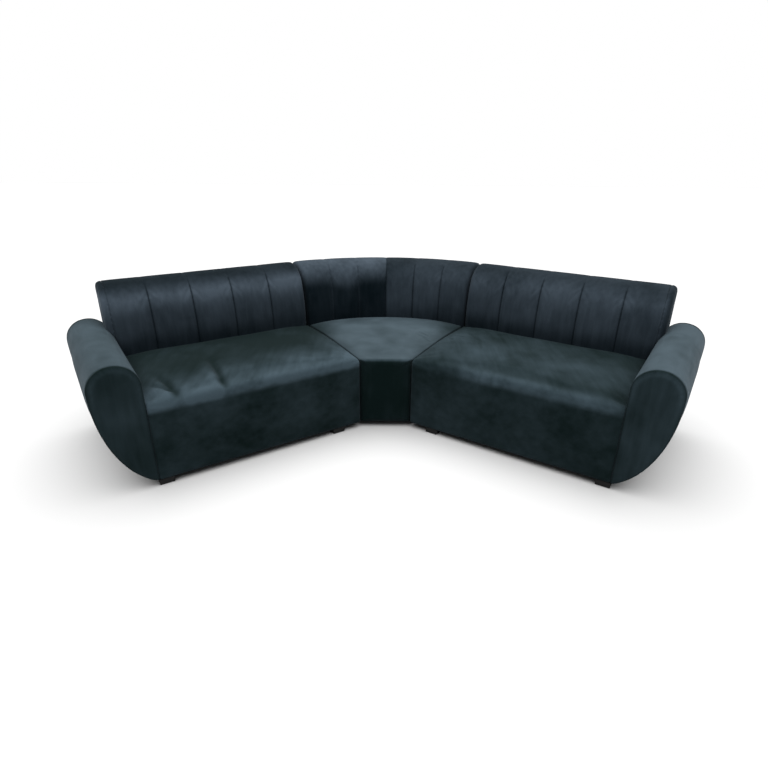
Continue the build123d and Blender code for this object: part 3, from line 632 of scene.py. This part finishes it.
def wing_cheek():
    """The cover round the outer end of a wing's back, sewn to the last channel."""
    outer, inner = BACK_HIGH.x, ARM_LOW.x + ARM_GAP
    cheek = panel("cheek", cheek_outline(), plane_at_x(outer), (inner - outer, 0, 0), CHEEK_ROUND)
    x, y, z = points_of(cheek.data).T
    across, back, up = normals_of(cheek.data).T
    crown = CHANNEL_CROWN * channels((x - BACK_LOW.x) / (outer - BACK_LOW.x), WING_CHANNELS) * below_top(z)
    push_out(cheek.data, np.where(back < 0.3, crown * (1 - np.abs(across)), 0))
    return cheek, x < outer - CHEEK_ROUND, FACING_SWELL


def above_arm(points):
    """Points of a cheek lifted onto the arm where they would reach into it."""
    x, y, z = points.T
    radius = (ARM_HIGH.x - ARM_LOW.x) / 2 + ARM_GAP
    middle = (ARM_LOW.x + ARM_HIGH.x) / 2
    surface = ARM_CENTRE_HEIGHT + np.sqrt(np.clip(radius**2 - (x - middle) ** 2, 0, None)) + ARM_GAP
    return np.stack([x, y, np.maximum(z, surface)], 1)


def beside_arm(points, end):
    """Points of a rear panel that ends at an X, squeezed along X where they would reach into the arm."""
    x, y, z = points.T
    radius = (ARM_HIGH.x - ARM_LOW.x) / 2
    over = np.clip(z - ARM_CENTRE_HEIGHT, 0, radius)
    inside = ARM_LOW.x + radius - np.sqrt(radius**2 - over**2) - SEWN_GAP
    limit = np.minimum(np.where(z < ARM_CENTRE_HEIGHT + radius, inside, end), end)
    start = end - ARM_SQUEEZE
    squeezed = start + (x - start) * (limit - start) / ARM_SQUEEZE
    return np.stack([np.where(x > start, squeezed, x), y, z], 1)


def wing_arm():
    low, high = ARM_LOW.y, ARM_HIGH.y
    runs = even_runs(high - low, ARM_SEAM_ROUND * END_ROOM, PITCH, along_y)
    arm = object_of("arm", swept(arm_outline(), plane_at_y(low), runs, ARM_SEAM_ROUND))
    x, y, z = points_of(arm.data).T
    held = (y < low + HEM_HOLD) | (y > high - HEM_HOLD) | (z < BASE + HEM_HOLD)
    held |= (x < ARM_LOW.x + END_HOLD) & (z < SEAT_EDGE)
    return arm, held, ARM_SWELL * (1 - ARM_HELD_SHARE * ease(y, FACE_FOOT.x - ARM_HELD_REAR, FACE_FOOT.x))


def wing_facing(node, outer, inner):
    """An arm's facing, from its outer face to the arm."""
    depth = (0, inner - outer, 0)
    facing = panel(node.replace("_facing", ""), arm_outline(), plane_at_y(outer), depth)
    y = points_of(facing.data)[:, 1]
    return facing, np.abs(y - outer) > FACING_ROUND, FACING_SWELL


def front_facing():
    low, high = wing_box("arm_front_facing")
    return wing_facing("arm_front_facing", low.y, high.y)


def rear_facing():
    low, high = wing_box("arm_rear_facing")
    return wing_facing("arm_rear_facing", high.y, low.y)


def corner_facing():
    low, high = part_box("corner_front_facing")
    depth = high.y - low.y
    taper = depth * math.tan(HALF_WEDGE)
    side = high.x - taper
    outline = [
        *straight((-side, low.z), (-side, high.z)),
        *straight((-side, high.z), (side, high.z)),
        *straight((side, high.z), (side, low.z)),
        *straight((side, low.z), (-side, low.z)),
    ]
    facing = panel("corner_front", outline, plane_at_y(low.y), (0, depth, 0), taper=taper)
    y = points_of(facing.data)[:, 1]
    return facing, y > low.y + FACING_ROUND, FACING_SWELL


def panel_held(y, z):
    return (y < PANEL_LOW.y + FRAME_HOLD) | (z < BASE + HEM_HOLD) | (z > RAIL_TOP - HEM_HOLD)


def wing_panel():
    low, high = PANEL_LOW.x, PANEL_HIGH.x - PANEL_INSET
    runs = even_runs(high - low, PANEL_END, PANEL_PITCH, along_x)
    rear = object_of("rear_cover", swept(panel_outline(), plane_at_x(low), runs, PANEL_END_ROUND))
    x, y, z = points_of(rear.data).T
    ends = (x < low + END_HOLD) | (x > high - PANEL_END)
    set_points(rear.data, beside_arm(points_of(rear.data), high))
    return rear, ends | panel_held(y, z), PANEL_SWELL


def corner_panel():
    turn = 2 * HALF_WEDGE - CORNER_PANEL_SLACK
    reach = APEX_RADIUS + REAR
    runs = even_runs(turn, PANEL_END / reach, PANEL_PITCH / reach, about_apex)
    plane = plane_at_turn(turn / 2, APEX_RADIUS)
    rear = object_of("corner_outside", swept(panel_outline(), plane, runs, PANEL_END_ROUND))
    share, y, z = about(points_of(rear.data))
    return rear, panel_held(y, z), PANEL_SWELL


def wrap(name, low_x):
    """A strip of velvet that stands against a lining, behind the front edge of a module."""
    low = Vector((low_x, WRAP_START, BASE))
    high = Vector((low_x + WRAP_THICKNESS, WRAP_DEPTH, CORNER_EDGE - CORNER_SEAT_ROLL))
    bm = bmesh.new()
    bmesh.ops.create_cube(bm, size=1)
    bmesh.ops.scale(bm, verts=bm.verts, vec=high - low)
    bmesh.ops.translate(bm, verts=bm.verts, vec=(low + high) / 2)
    soften(bm, list(bm.edges), WRAP_ROUND, 2)
    return object_of(name, bm)


# Filling out and dividing the covers
def swell(pieces):
    """Covers fill out under pressure, all at once; held points stay and no point moves past its cap."""
    scene = bpy.context.scene
    for obj, held, cap in pieces:
        group = obj.vertex_groups.new(name="held")
        group.add(np.flatnonzero(held).tolist(), 1.0, "REPLACE")
        cloth = obj.modifiers.new("filling", "CLOTH")
        cloth.settings.quality = CLOTH_QUALITY
        cloth.settings.vertex_group_mass = group.name
        cloth.settings.use_pressure = True
        cloth.settings.uniform_pressure_force = PRESSURE
        cloth.settings.effector_weights.gravity = 0
        cloth.point_cache.frame_end = FRAMES
    for number in range(1, FRAMES + 1):
        scene.frame_set(number)
    graph = bpy.context.evaluated_depsgraph_get()
    for obj, held, cap in pieces:
        start = points_of(obj.data)
        moved = points_of(obj.evaluated_get(graph).data) - start
        length = np.maximum(np.linalg.norm(moved, axis=1), 1e-9)
        share = cap * np.tanh(length / cap) / length
        obj.modifiers.clear()
        obj.vertex_groups.clear()
        set_points(obj.data, start + moved * share[:, None])
    scene.frame_set(1)


def refine(obj):
    """One subdivision, made part of the mesh."""
    fine = obj.modifiers.new("fine", "SUBSURF")
    fine.levels = fine.render_levels = 1
    apply_modifiers(obj)


def fold_depth(points, folds):
    """How deep the folds lie at each point of a seat."""
    sunk = np.zeros(len(points))
    for start, end, width, depth in folds:
        along = np.array(end) - np.array(start)
        length = np.linalg.norm(along)
        along /= length
        offset = points[:, :2] - np.array(start)
        share = offset @ along / length
        beside = offset @ np.array((-along[1], along[0]))
        fade = ease(share, -0.1, 0.5) * ease(1.1 - share, 0, 0.35)
        sunk += depth * fade * (hump(beside, 0, width) - 0.4 * hump(beside, 2 * width, 1.6 * width))
    return sunk


def folded(mesh, folds, low, high):
    """Presses folds into the part of a seat above the height low, fully from the height high."""
    points = points_of(mesh)
    points[:, 2] -= fold_depth(points, folds) * ease(points[:, 2], low, high)
    set_points(mesh, points)


# Painted light and shade on each piece, together with how its pile lies: 0 dark, where the pile is brushed
# away and where shade is painted, 1 where painted sheen and highlights catch the light
PANEL_NAP = 0.3
SEAT_FRONT_PAINTED_LIGHT_LEVEL = {"left": 0.19, "right": 0.16}
BACK_PAINTED_LIGHT_LEVELS = {"left": (0.15, 0.39, 0.50, 0.95), "right": (0.18, 0.47, 0.12, 0.65)}
CORNER_BACK_PAINTED_LIGHT_LEVELS = (0.24, 0.42, 0.0, 0.6)
CHEEK_PAINTED_LIGHT_SHARE = {"left": 0.3, "right": -0.75}
ARM_PAINTED_LIGHT_LEVEL = {"left": 0.58, "right": 0.86}
FACING_PAINTED_LIGHT_LEVEL = {"left": 0.20, "right": 0.32}


def seat_painted_light(points, front, top, folds):
    """Painted light on a seat: the front at one level and the lit top at another, with painted shade in the
    folds.
    """
    on_top = ease(points[:, 2], SEAT_EDGE - 0.060, SEAT_EDGE - 0.028)
    shaded = np.clip(1 - FOLD_SHADE * fold_depth(points, folds), 0.12, 1.3)
    return front + (top * shaded - front) * on_top


def left_seat_painted_light(points):
    """Painted shade at the rear, with a painted highlight in a band along the front roll and some painted
    light beside the corner unit.
    """
    x, y, z = points.T
    roll = 0.74 * hump(y, 0.01, 0.15) + 0.30 * hump(y, 0, 0.025)
    beside = 0.28 * hump(x, 0, 0.09) * ease(0.5 - y, 0, 0.2)
    return seat_painted_light(points, SEAT_FRONT_PAINTED_LIGHT_LEVEL["left"], 0.012 + roll + beside, LEFT_FOLDS)


def right_seat_painted_light(points):
    """Painted light towards the corner unit, in a broad band, and a painted highlight in a narrow line
    along the front roll.
    """
    x, y, z = points.T
    outwards = x / SEAT_HIGH.x
    line = 0.60 * ease(x, 0.1, 0.5) * hump(y, 0, 0.035)
    top = 0.25 - 0.23 * outwards + 0.22 * hump(y, 0.22, 0.16) + line
    return seat_painted_light(points, SEAT_FRONT_PAINTED_LIGHT_LEVEL["right"], top, RIGHT_FOLDS)


def wing_seat_painted_light(points, side):
    return {"left": left_seat_painted_light, "right": right_seat_painted_light}[side](points)


def corner_seat_painted_light(points):
    """Painted light in the middle, painted shade towards its rear corners and in the folds."""
    share, y, z = about(points)
    sides = 0.75 * hump(share, 0, 0.10) + 0.60 * hump(share, 1, 0.10)
    rear = 0.35 + 0.65 * ease(y, SEAT_REAR - 0.35, SEAT_REAR - 0.12)
    return 0.86 * (1 - sides * rear) - FOLD_SHADE * fold_depth(points, CORNER_FOLDS)


def back_painted_light(z, foot, face, brow, lip):
    """Painted light on a back: painted shade at the foot, lighter up the face to a painted highlight on the
    brow, and painted shade again over the top roll by a share.
    """
    rising = foot + (face - foot) * ease(z, 0.45, 0.56) + brow * hump(z, 0.71, 0.055)
    return rising * (1 - lip * ease(z, 0.70, 0.79))


def seam_shade(share, z, count, width):
    """1 on the seams between channels below the top roll, and 0 elsewhere."""
    return hump(from_seam(share, count), 0, width) * ease(0.775 - z, 0, 0.03)


# Painted light on a wing's back, with painted shade on its seams
def wing_back_painted_light(points, side):
    x, y, z = points.T
    share = (x - BACK_LOW.x) / (BACK_HIGH.x - BACK_LOW.x)
    tone_and_painted_light = back_painted_light(z, *BACK_PAINTED_LIGHT_LEVELS[side])
    return tone_and_painted_light * (1 - 0.75 * seam_shade(share, z, WING_CHANNELS, 0.02))


def cheek_painted_light(points, side):
    """Follows the last channel's painted light, with more painted light round its end on the left and
    painted shade there on the right.
    """
    x, y, z = points.T
    end = ease(x, ARM_LOW.x, BACK_HIGH.x)
    return wing_back_painted_light(points, side) * (1 + CHEEK_PAINTED_LIGHT_SHARE[side] * end)


def corner_back_painted_light(points):
    """Painted light on the corner back: the left half in painted shade with a lit top and faint painted
    highlights on its seams, the right half even with painted shade on its seams.
    """
    share, y, z = about(points)
    seams = seam_shade(share, z, CORNER_CHANNELS, 0.025)
    edge = 0.712 - 0.035 * hump(share, 0.25, 0.08)
    light = ease(z, edge - 0.07, edge + 0.05)
    left = 0.03 + 0.70 * light + seams * (0.12 - 0.30 * light) * ease(0.47 - share, 0, 0.03)
    right = back_painted_light(z, *CORNER_BACK_PAINTED_LIGHT_LEVELS) * (1 - 0.6 * seams)
    tone_and_painted_light = np.where(share < 0.5, left, right)
    return tone_and_painted_light + (PANEL_NAP - tone_and_painted_light) * ease(y, REAR - 0.08, REAR - 0.03)


# Painted light on an arm: darker low down, lighter towards its lit top
def arm_painted_light(points, side):
    x, y, z = points.T
    return 0.12 + ARM_PAINTED_LIGHT_LEVEL[side] * ease(z, 0.15, 0.5)


def from_outline(points, outline):
    """Distance of wing points from an (x, z) outline."""
    flat = points[:, 0::2]
    corners = np.array(outline)
    return np.min([np.hypot(*(flat - corner).T) for corner in corners], axis=0)


def facing_painted_light(points, side):
    """Even painted light, with a painted highlight in a band inside the upper rim and painted shade in a
    line at the seam.
    """
    rim = from_outline(points, arm_outline())
    upper = ease(points[:, 2], 0.35, 0.5)
    return FACING_PAINTED_LIGHT_LEVEL[side] * (1 + 0.45 * upper * hump(rim, 0.018, 0.008) - 0.9 * hump(rim, 0, 0.006))


def corner_facing_painted_light(points):
    """Painted shade, with painted light carried from the seat over its top rim."""
    z = points[:, 2]
    rim = ease(z, CORNER_EDGE - 0.014, CORNER_EDGE - 0.001)
    return 0.01 + 0.04 * ease(z, 0.1, CORNER_EDGE) + 0.55 * rim


def panel_nap(points, side=None):
    return np.full(len(points), PANEL_NAP)


# Shader maths
class Shade:
    """A socket among a material's nodes; sums, differences and products of shades add Math nodes."""

    def __init__(self, tree, socket=None):
        self.tree = tree
        self.socket = socket

    def node(self, kind, settings=None, sockets=None, out=0):
        """Adds a node: its settings first, then the values or links of its sockets."""
        made = self.tree.nodes.new(kind)
        for name, value in (settings or {}).items():
            setattr(made, name, value)
        for name, value in (sockets or {}).items():
            if isinstance(value, Shade):
                self.tree.links.new(value.socket, made.inputs[name])
            else:
                made.inputs[name].default_value = value
        return Shade(self.tree, made.outputs[out])

    def into(self, socket):
        self.tree.links.new(self.socket, socket)

    def math(self, operation, first, second):
        return self.node("ShaderNodeMath", {"operation": operation}, {0: first, 1: second})

    def __add__(self, other):
        return self.math("ADD", self, other)

    def __sub__(self, other):
        return self.math("SUBTRACT", self, other)

    def __rsub__(self, other):
        return self.math("SUBTRACT", other, self)

    def __mul__(self, other):
        return self.math("MULTIPLY", self, other)

    __radd__ = __add__
    __rmul__ = __mul__

    def place(self, turn=0.0, stretch=(1, 1, 1)):
        """Object coordinates, turned about Z and stretched."""
        at = self.node("ShaderNodeTexCoord", out="Object")
        sockets = {"Vector": at, "Rotation": (0, 0, turn), "Scale": stretch}
        return self.node("ShaderNodeMapping", {}, sockets)

    def noise(self, at, scale, detail=2.0, swirl=0.0):
        sockets = {"Vector": at, "Scale": scale, "Detail": detail, "Distortion": swirl}
        return self.node("ShaderNodeTexNoise", {}, sockets)

    def blend(self, share, first, second):
        """A colour between two, clamped."""
        colours = {6: (*first, 1), 7: (*second, 1)}
        return self.node("ShaderNodeMix", {"data_type": "RGBA"}, {0: share, **colours}, out=2)

    def bump(self, height):
        """A normal from a height in metres."""
        return self.node("ShaderNodeBump", {}, {"Strength": 1, "Distance": 1, "Height": height})


def finish(name):
    """A new material, its nodes and its shader."""
    material = bpy.data.materials.new(name)
    material.use_nodes = True
    return material, Shade(material.node_tree), material.node_tree.nodes["Principled BSDF"]


# Finishes
VELVET_DARK = (0.0010, 0.0051, 0.0050)
# Painted sheen colours, shown where painted light lies; the arm's, also used on the corner seat, is
# lighter, and the back's is bluer
VELVET_PAINTED_SHEEN = (0.0325, 0.0500, 0.0620)
VELVET_ARM_PAINTED_SHEEN = (0.038, 0.055, 0.066)
VELVET_BACK_DARK = (0.0010, 0.0040, 0.0062)
VELVET_BACK_PAINTED_SHEEN = (0.046, 0.062, 0.080)
SHEEN_TINT = (0.70, 0.87, 1.0)
PINE_PALE = (0.62, 0.43, 0.23)
PINE_DARK = (0.40, 0.23, 0.10)
BIRCH_PALE = (0.66, 0.50, 0.32)
BIRCH_DARK = (0.34, 0.21, 0.11)
PLY_SCALE = 380
YARN_SCALE = 320
WEBBING_DARK = (0.012, 0.012, 0.013)
WEBBING_PALE = (0.085, 0.085, 0.09)
LINING_DARK = (0.006, 0.006, 0.007)
LINING_PALE = (0.03, 0.03, 0.032)
FOOT_DARK = (0.003, 0.003, 0.003)
FOOT_PALE = (0.014, 0.014, 0.014)
ZINC_DARK = (0.42, 0.43, 0.44)
ZINC_PALE = (0.72, 0.73, 0.74)


def velvet(name, dark, light, brush, uneven):
    """Brushed velvet: clouds and hand marks in the pile, streaks along the brushing and a fine fibre, over
    each piece's painted light and shade.
    """
    material, nodes, shader = finish(name)
    at = nodes.place()
    # The piece's painted light and shade, with how its pile lies, as a level from 0 to 1
    nap = nodes.node("ShaderNodeAttribute", {"attribute_name": "nap"}, out="Fac")
    clouds = nodes.noise(at, 4, 2) - 0.5
    marks = nodes.noise(at, 9, 2, 0.6) - 0.5
    streaks = nodes.noise(nodes.place(stretch=brush), 1, 2) - 0.5
    fibre = nodes.noise(at, 900, 1) - 0.5
    tone_and_painted_light = nap + (1.2 * clouds + 0.5 * marks + 0.6 * streaks + 0.15 * fibre) * (0.25 + nap) * uneven
    # Mixed from the pile's dark colour to its painted sheen colour
    nodes.blend(tone_and_painted_light, dark, light).into(shader.inputs["Base Color"])
    (0.88 - 0.12 * tone_and_painted_light).into(shader.inputs["Roughness"])
    height = 0.0010 * marks + 0.0005 * streaks + 0.0003 * fibre
    nodes.bump(height).into(shader.inputs["Normal"])
    shader.inputs["Specular IOR Level"].default_value = 0.06
    shader.inputs["Sheen Weight"].default_value = 0.05
    shader.inputs["Sheen Roughness"].default_value = 0.45
    shader.inputs["Sheen Tint"].default_value = (*SHEEN_TINT, 1)
    return material


def pine(name, turn):
    """Sawn softwood, its growth rings stretched along the grain."""
    material, nodes, shader = finish(name)
    at = nodes.place(turn, (1.2, 16, 16))
    warp = nodes.noise(at, 0.8, 3)
    rings = nodes.node(
        "ShaderNodeTexWave",
        {"wave_type": "RINGS", "rings_direction": "X"},
        {"Vector": at, "Scale": 1.4, "Distortion": 6, "Detail": 2},
        out="Fac",
    )
    pores = nodes.noise(nodes.place(turn, (30, 900, 900)), 1, 1)
    grain = 0.55 * rings + 0.35 * warp + 0.2 * pores
    nodes.blend(grain, PINE_PALE, PINE_DARK).into(shader.inputs["Base Color"])
    (0.55 + 0.2 * pores).into(shader.inputs["Roughness"])
    nodes.bump(0.0002 * rings + 0.0001 * pores).into(shader.inputs["Normal"])
    return material


def plywood(name, turn):
    """Birch plywood: plies across its thickness, which lies along X, so stripes show on its edges alone."""
    material, nodes, shader = finish(name)
    plies = nodes.node(
        "ShaderNodeTexWave",
        {"wave_type": "BANDS", "bands_direction": "X"},
        {"Vector": nodes.place(turn), "Scale": PLY_SCALE, "Distortion": 0.2},
        out="Fac",
    )
    veneer = nodes.noise(nodes.place(turn, (40, 90, 4)), 1, 4)
    nodes.blend(0.6 * plies + 0.5 * veneer, BIRCH_PALE, BIRCH_DARK).into(shader.inputs["Base Color"])
    (0.5 + 0.2 * veneer).into(shader.inputs["Roughness"])
    nodes.bump(0.00015 * plies + 0.0001 * veneer).into(shader.inputs["Normal"])
    return material


def webbing(name, turn):
    """Woven elastic webbing: crossing yarns with a slow variation in their colour."""
    material, nodes, shader = finish(name)
    at = nodes.place(turn)
    settings = {"wave_type": "BANDS", "bands_direction": "X"}
    warp = nodes.node("ShaderNodeTexWave", settings, {"Vector": at, "Scale": YARN_SCALE}, out="Fac")
    settings = {"wave_type": "BANDS", "bands_direction": "Y"}
    weft = nodes.node("ShaderNodeTexWave", settings, {"Vector": at, "Scale": YARN_SCALE}, out="Fac")
    yarns = warp * weft
    tone = nodes.noise(at, 25, 2)
    nodes.blend(0.7 * yarns + 0.3 * tone, WEBBING_DARK, WEBBING_PALE).into(shader.inputs["Base Color"])
    (0.9 - 0.15 * yarns).into(shader.inputs["Roughness"])
    nodes.bump(0.0006 * yarns).into(shader.inputs["Normal"])
    return material


def lining(name):
    """Black non-woven lining: pressed dots on a felt of fine fibres."""
    material, nodes, shader = finish(name)
    at = nodes.place()
    sockets = {"Vector": at, "Scale": 380, "Randomness": 0.3}
    dots = nodes.node("ShaderNodeTexVoronoi", {}, sockets, out="Distance")
    felt = nodes.noise(at, 700, 3)
    nodes.blend(0.7 * dots + 0.3 * felt, LINING_DARK, LINING_PALE).into(shader.inputs["Base Color"])
    (0.85 + 0.1 * felt).into(shader.inputs["Roughness"])
    nodes.bump(0.0003 * dots + 0.0002 * felt).into(shader.inputs["Normal"])
    shader.inputs["Specular IOR Level"].default_value = 0.1
    return material


def moulded_foot(name):
    """Matt black moulded foot with a fine spark grain and pale scuffs near the floor."""
    material, nodes, shader = finish(name)
    at = nodes.place()
    spark = nodes.noise(at, 1400, 2)
    scuffs = nodes.noise(nodes.place(stretch=(60, 60, 400)), 1, 3)
    wear = 0.3 * scuffs + 0.2 * spark
    nodes.blend(wear, FOOT_DARK, FOOT_PALE).into(shader.inputs["Base Color"])
    (0.55 + 0.2 * scuffs).into(shader.inputs["Roughness"])
    nodes.bump(0.00015 * spark).into(shader.inputs["Normal"])
    shader.inputs["Specular IOR Level"].default_value = 0.25
    return material


def zinc(name):
    """Zinc-plated steel with a fine spangle."""
    material, nodes, shader = finish(name)
    at = nodes.place()
    spangle = nodes.node("ShaderNodeTexVoronoi", {}, {"Vector": at, "Scale": 260}, out="Color")
    grey = nodes.node("ShaderNodeRGBToBW", {}, {"Color": spangle})
    haze = nodes.noise(at, 40, 3)
    nodes.blend(0.6 * grey + 0.4 * haze, ZINC_DARK, ZINC_PALE).into(shader.inputs["Base Color"])
    (0.3 + 0.25 * haze).into(shader.inputs["Roughness"])
    nodes.bump(0.00005 * haze).into(shader.inputs["Normal"])
    shader.inputs["Metallic"].default_value = 1.0
    return material


# Nodes whose grain or plies run across their module instead of along it
ACROSS = ("centre_stretcher", "arm_rails", "spine")


def finish_frame(velvet_hidden):
    """Gives each solid its finish by its slot, with grain, plies and yarns turned with its module."""
    made = {}
    for row in frame["record"]["subparts"]:
        node, slot = row["node"], row["material_slot"]
        module = node.split("_")[0]
        turn = {"left": -HALF_WEDGE, "right": HALF_WEDGE}.get(module, 0.0)
        if node.endswith(ACROSS):
            turn += math.pi / 2
        name = slot + "_" + module + ("_across" if node.endswith(ACROSS) else "")
        if slot == "velvet":
            made[name] = velvet_hidden
        elif name not in made:
            make = {"pine": pine, "plywood": plywood, "webbing": webbing}.get(slot)
            plain = {"black_lining": lining, "black_foot": moulded_foot, "zinc_steel": zinc}.get(slot)
            made[name] = make(name, turn) if make else plain(name)
        mesh = frame["nodes"][node].data
        mesh.materials.clear()
        mesh.materials.append(made[name])


def dress(obj, body, node, material, nap):
    """Finishes a velvet piece, with its painted light and shade kept as an attribute, and sets it on its
    body for its solid.
    """
    obj.data.shade_smooth()
    obj.data.materials.clear()
    obj.data.materials.append(material)
    # Painted light and shade of the piece, kept as a point attribute
    tone_and_painted_light = obj.data.attributes.new("nap", "FLOAT", "POINT")
    tone_and_painted_light.data.foreach_set("value", nap.astype(np.float32))
    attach(obj, body)
    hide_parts(node)


def place_wing(master, side):
    """A wing piece's own copy for one side, still in the wing's axes."""
    obj = bpy.data.objects.new(side + "_" + master.name, master.data.copy())
    bpy.context.scene.collection.objects.link(obj)
    return obj


def set_on_side(mesh, side):
    mesh.transform(WING_PLACE)
    if side == "left":
        mesh.transform(MIRROR)
        mesh.flip_normals()


WING_PIECES = {
    "seat_pad": (wing_seat, wing_seat_painted_light, "seat"),
    "back_pad": (wing_back, wing_back_painted_light, "back"),
    "cheek": (wing_cheek, cheek_painted_light, "back"),
    "arm_pad": (wing_arm, arm_painted_light, "arm"),
    "arm_front_facing": (front_facing, facing_painted_light, "front"),
    "arm_rear_facing": (rear_facing, facing_painted_light, "front"),
    "outside_back": (wing_panel, panel_nap, "back"),
}
STANDS_FOR = {"cheek": "back_pad"}
CORNER_PIECES = {
    "corner_seat_pad": (corner_seat, corner_seat_painted_light, "arm"),
    "corner_back_pad": (corner_back, corner_back_painted_light, "back"),
    "corner_front_facing": (corner_facing, corner_facing_painted_light, "front"),
    "corner_outside_back": (corner_panel, panel_nap, "back"),
}


def upholster():
    # Lit and shaded copies of one velvet, each with its own painted colours and brushing
    velvets = {
        "seat": velvet("velvet_seat", VELVET_DARK, VELVET_PAINTED_SHEEN, (30, 4, 30), 1.1),
        "back": velvet("velvet_back", VELVET_BACK_DARK, VELVET_BACK_PAINTED_SHEEN, (45, 45, 5), 0.8),
        "arm": velvet("velvet_arm", VELVET_DARK, VELVET_ARM_PAINTED_SHEEN, (6, 6, 60), 0.8),
        "front": velvet("velvet_front", VELVET_DARK, VELVET_PAINTED_SHEEN, (40, 40, 6), 0.9),
    }
    wing = {node: make() for node, (make, nap, pile) in WING_PIECES.items()}
    corner = {node: make() for node, (make, nap, pile) in CORNER_PIECES.items()}
    swell([*wing.values(), *corner.values()])
    for node, (master, held, cap) in wing.items():
        make, nap, pile = WING_PIECES[node]
        refine(master)
        if node == "cheek":
            set_points(master.data, above_arm(points_of(master.data)))
        for side, folds in (("left", LEFT_FOLDS), ("right", RIGHT_FOLDS)):
            piece = place_wing(master, side)
            if node == "seat_pad":
                folded(piece.data, folds, SEAT_EDGE - SEAT_ROLL, SEAT_EDGE)
            tone_and_painted_light = nap(points_of(piece.data), side)
            set_on_side(piece.data, side)
            dress(piece, side + "_wing", side + "_" + STANDS_FOR.get(node, node), velvets[pile], tone_and_painted_light)
        bpy.data.objects.remove(master)
    for node, (piece, held, cap) in corner.items():
        make, nap, pile = CORNER_PIECES[node]
        refine(piece)
        if node == "corner_seat_pad":
            folded(piece.data, CORNER_FOLDS, CORNER_EDGE - CORNER_SEAT_SIDE, CORNER_EDGE)
        dress(piece, "corner", node, velvets[pile], nap(points_of(piece.data)))
    for side in ("left", "right"):
        for body, low_x in ((side + "_wing", WRAP_INSET), ("corner", WRAP_CORNER)):
            strip = wrap(side + "_wrap_" + body.split("_")[-1], low_x)
            set_on_side(strip.data, side)
            strip.data.materials.append(velvets["front"])
            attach(strip, body)
    finish_frame(velvets["seat"])


# Stage, light and camera
CAMERA_DISTANCE = 2.573
CAMERA_HEIGHT = 1.359
CAMERA_SIDE = -0.008
CAMERA_PITCH = math.radians(66.88)
CAMERA_ROLL = 0.0075
CAMERA_LENS = 24.42
SENSOR_WIDTH = 36
FLOOR_SIZE = 30
FLOOR_GREY = (0.5, 0.5, 0.5)
DIFFUSER_SPREAD = math.radians(100)
DIFFUSER_STRENGTH = 6.4
WORLD_SEEN = 1.0
WORLD_FILL = 0.2


def camera():
    data = bpy.data.cameras.new("photo_camera")
    data.lens = CAMERA_LENS
    data.sensor_width = SENSOR_WIDTH
    obj = bpy.data.objects.new("photo_camera", data)
    obj.location = (CAMERA_SIDE, FRONT_Y - CAMERA_DISTANCE, CAMERA_HEIGHT)
    turn = Matrix.Rotation(CAMERA_PITCH, 4, "X") @ Matrix.Rotation(CAMERA_ROLL, 4, "Z")
    obj.rotation_euler = turn.to_euler()
    bpy.context.scene.collection.objects.link(obj)
    bpy.context.scene.camera = obj


def stage():
    bm = bmesh.new()
    bmesh.ops.create_grid(bm, x_segments=1, y_segments=1, size=FLOOR_SIZE)
    floor = object_of("floor", bm)
    material, nodes, shader = finish("floor")
    shader.inputs["Base Color"].default_value = (*FLOOR_GREY, 1)
    shader.inputs["Roughness"].default_value = 0.9
    shader.inputs["Specular IOR Level"].default_value = 0.0
    floor.data.materials.append(material)
    light = bpy.data.lights.new("overhead_diffuser", "SUN")
    light.angle = DIFFUSER_SPREAD
    light.energy = DIFFUSER_STRENGTH
    diffuser = bpy.data.objects.new("overhead_diffuser", light)
    bpy.context.scene.collection.objects.link(diffuser)
    world = bpy.data.worlds.new("studio")
    bpy.context.scene.world = world
    world.use_nodes = True
    nodes = Shade(world.node_tree)
    seen = nodes.node("ShaderNodeLightPath", out="Is Camera Ray")
    background = world.node_tree.nodes["Background"]
    background.inputs["Color"].default_value = (1, 1, 1, 1)
    (WORLD_FILL + (WORLD_SEEN - WORLD_FILL) * seen).into(background.inputs["Strength"])
    bpy.context.scene.view_settings.view_transform = "Standard"


upholster()
camera()
stage()
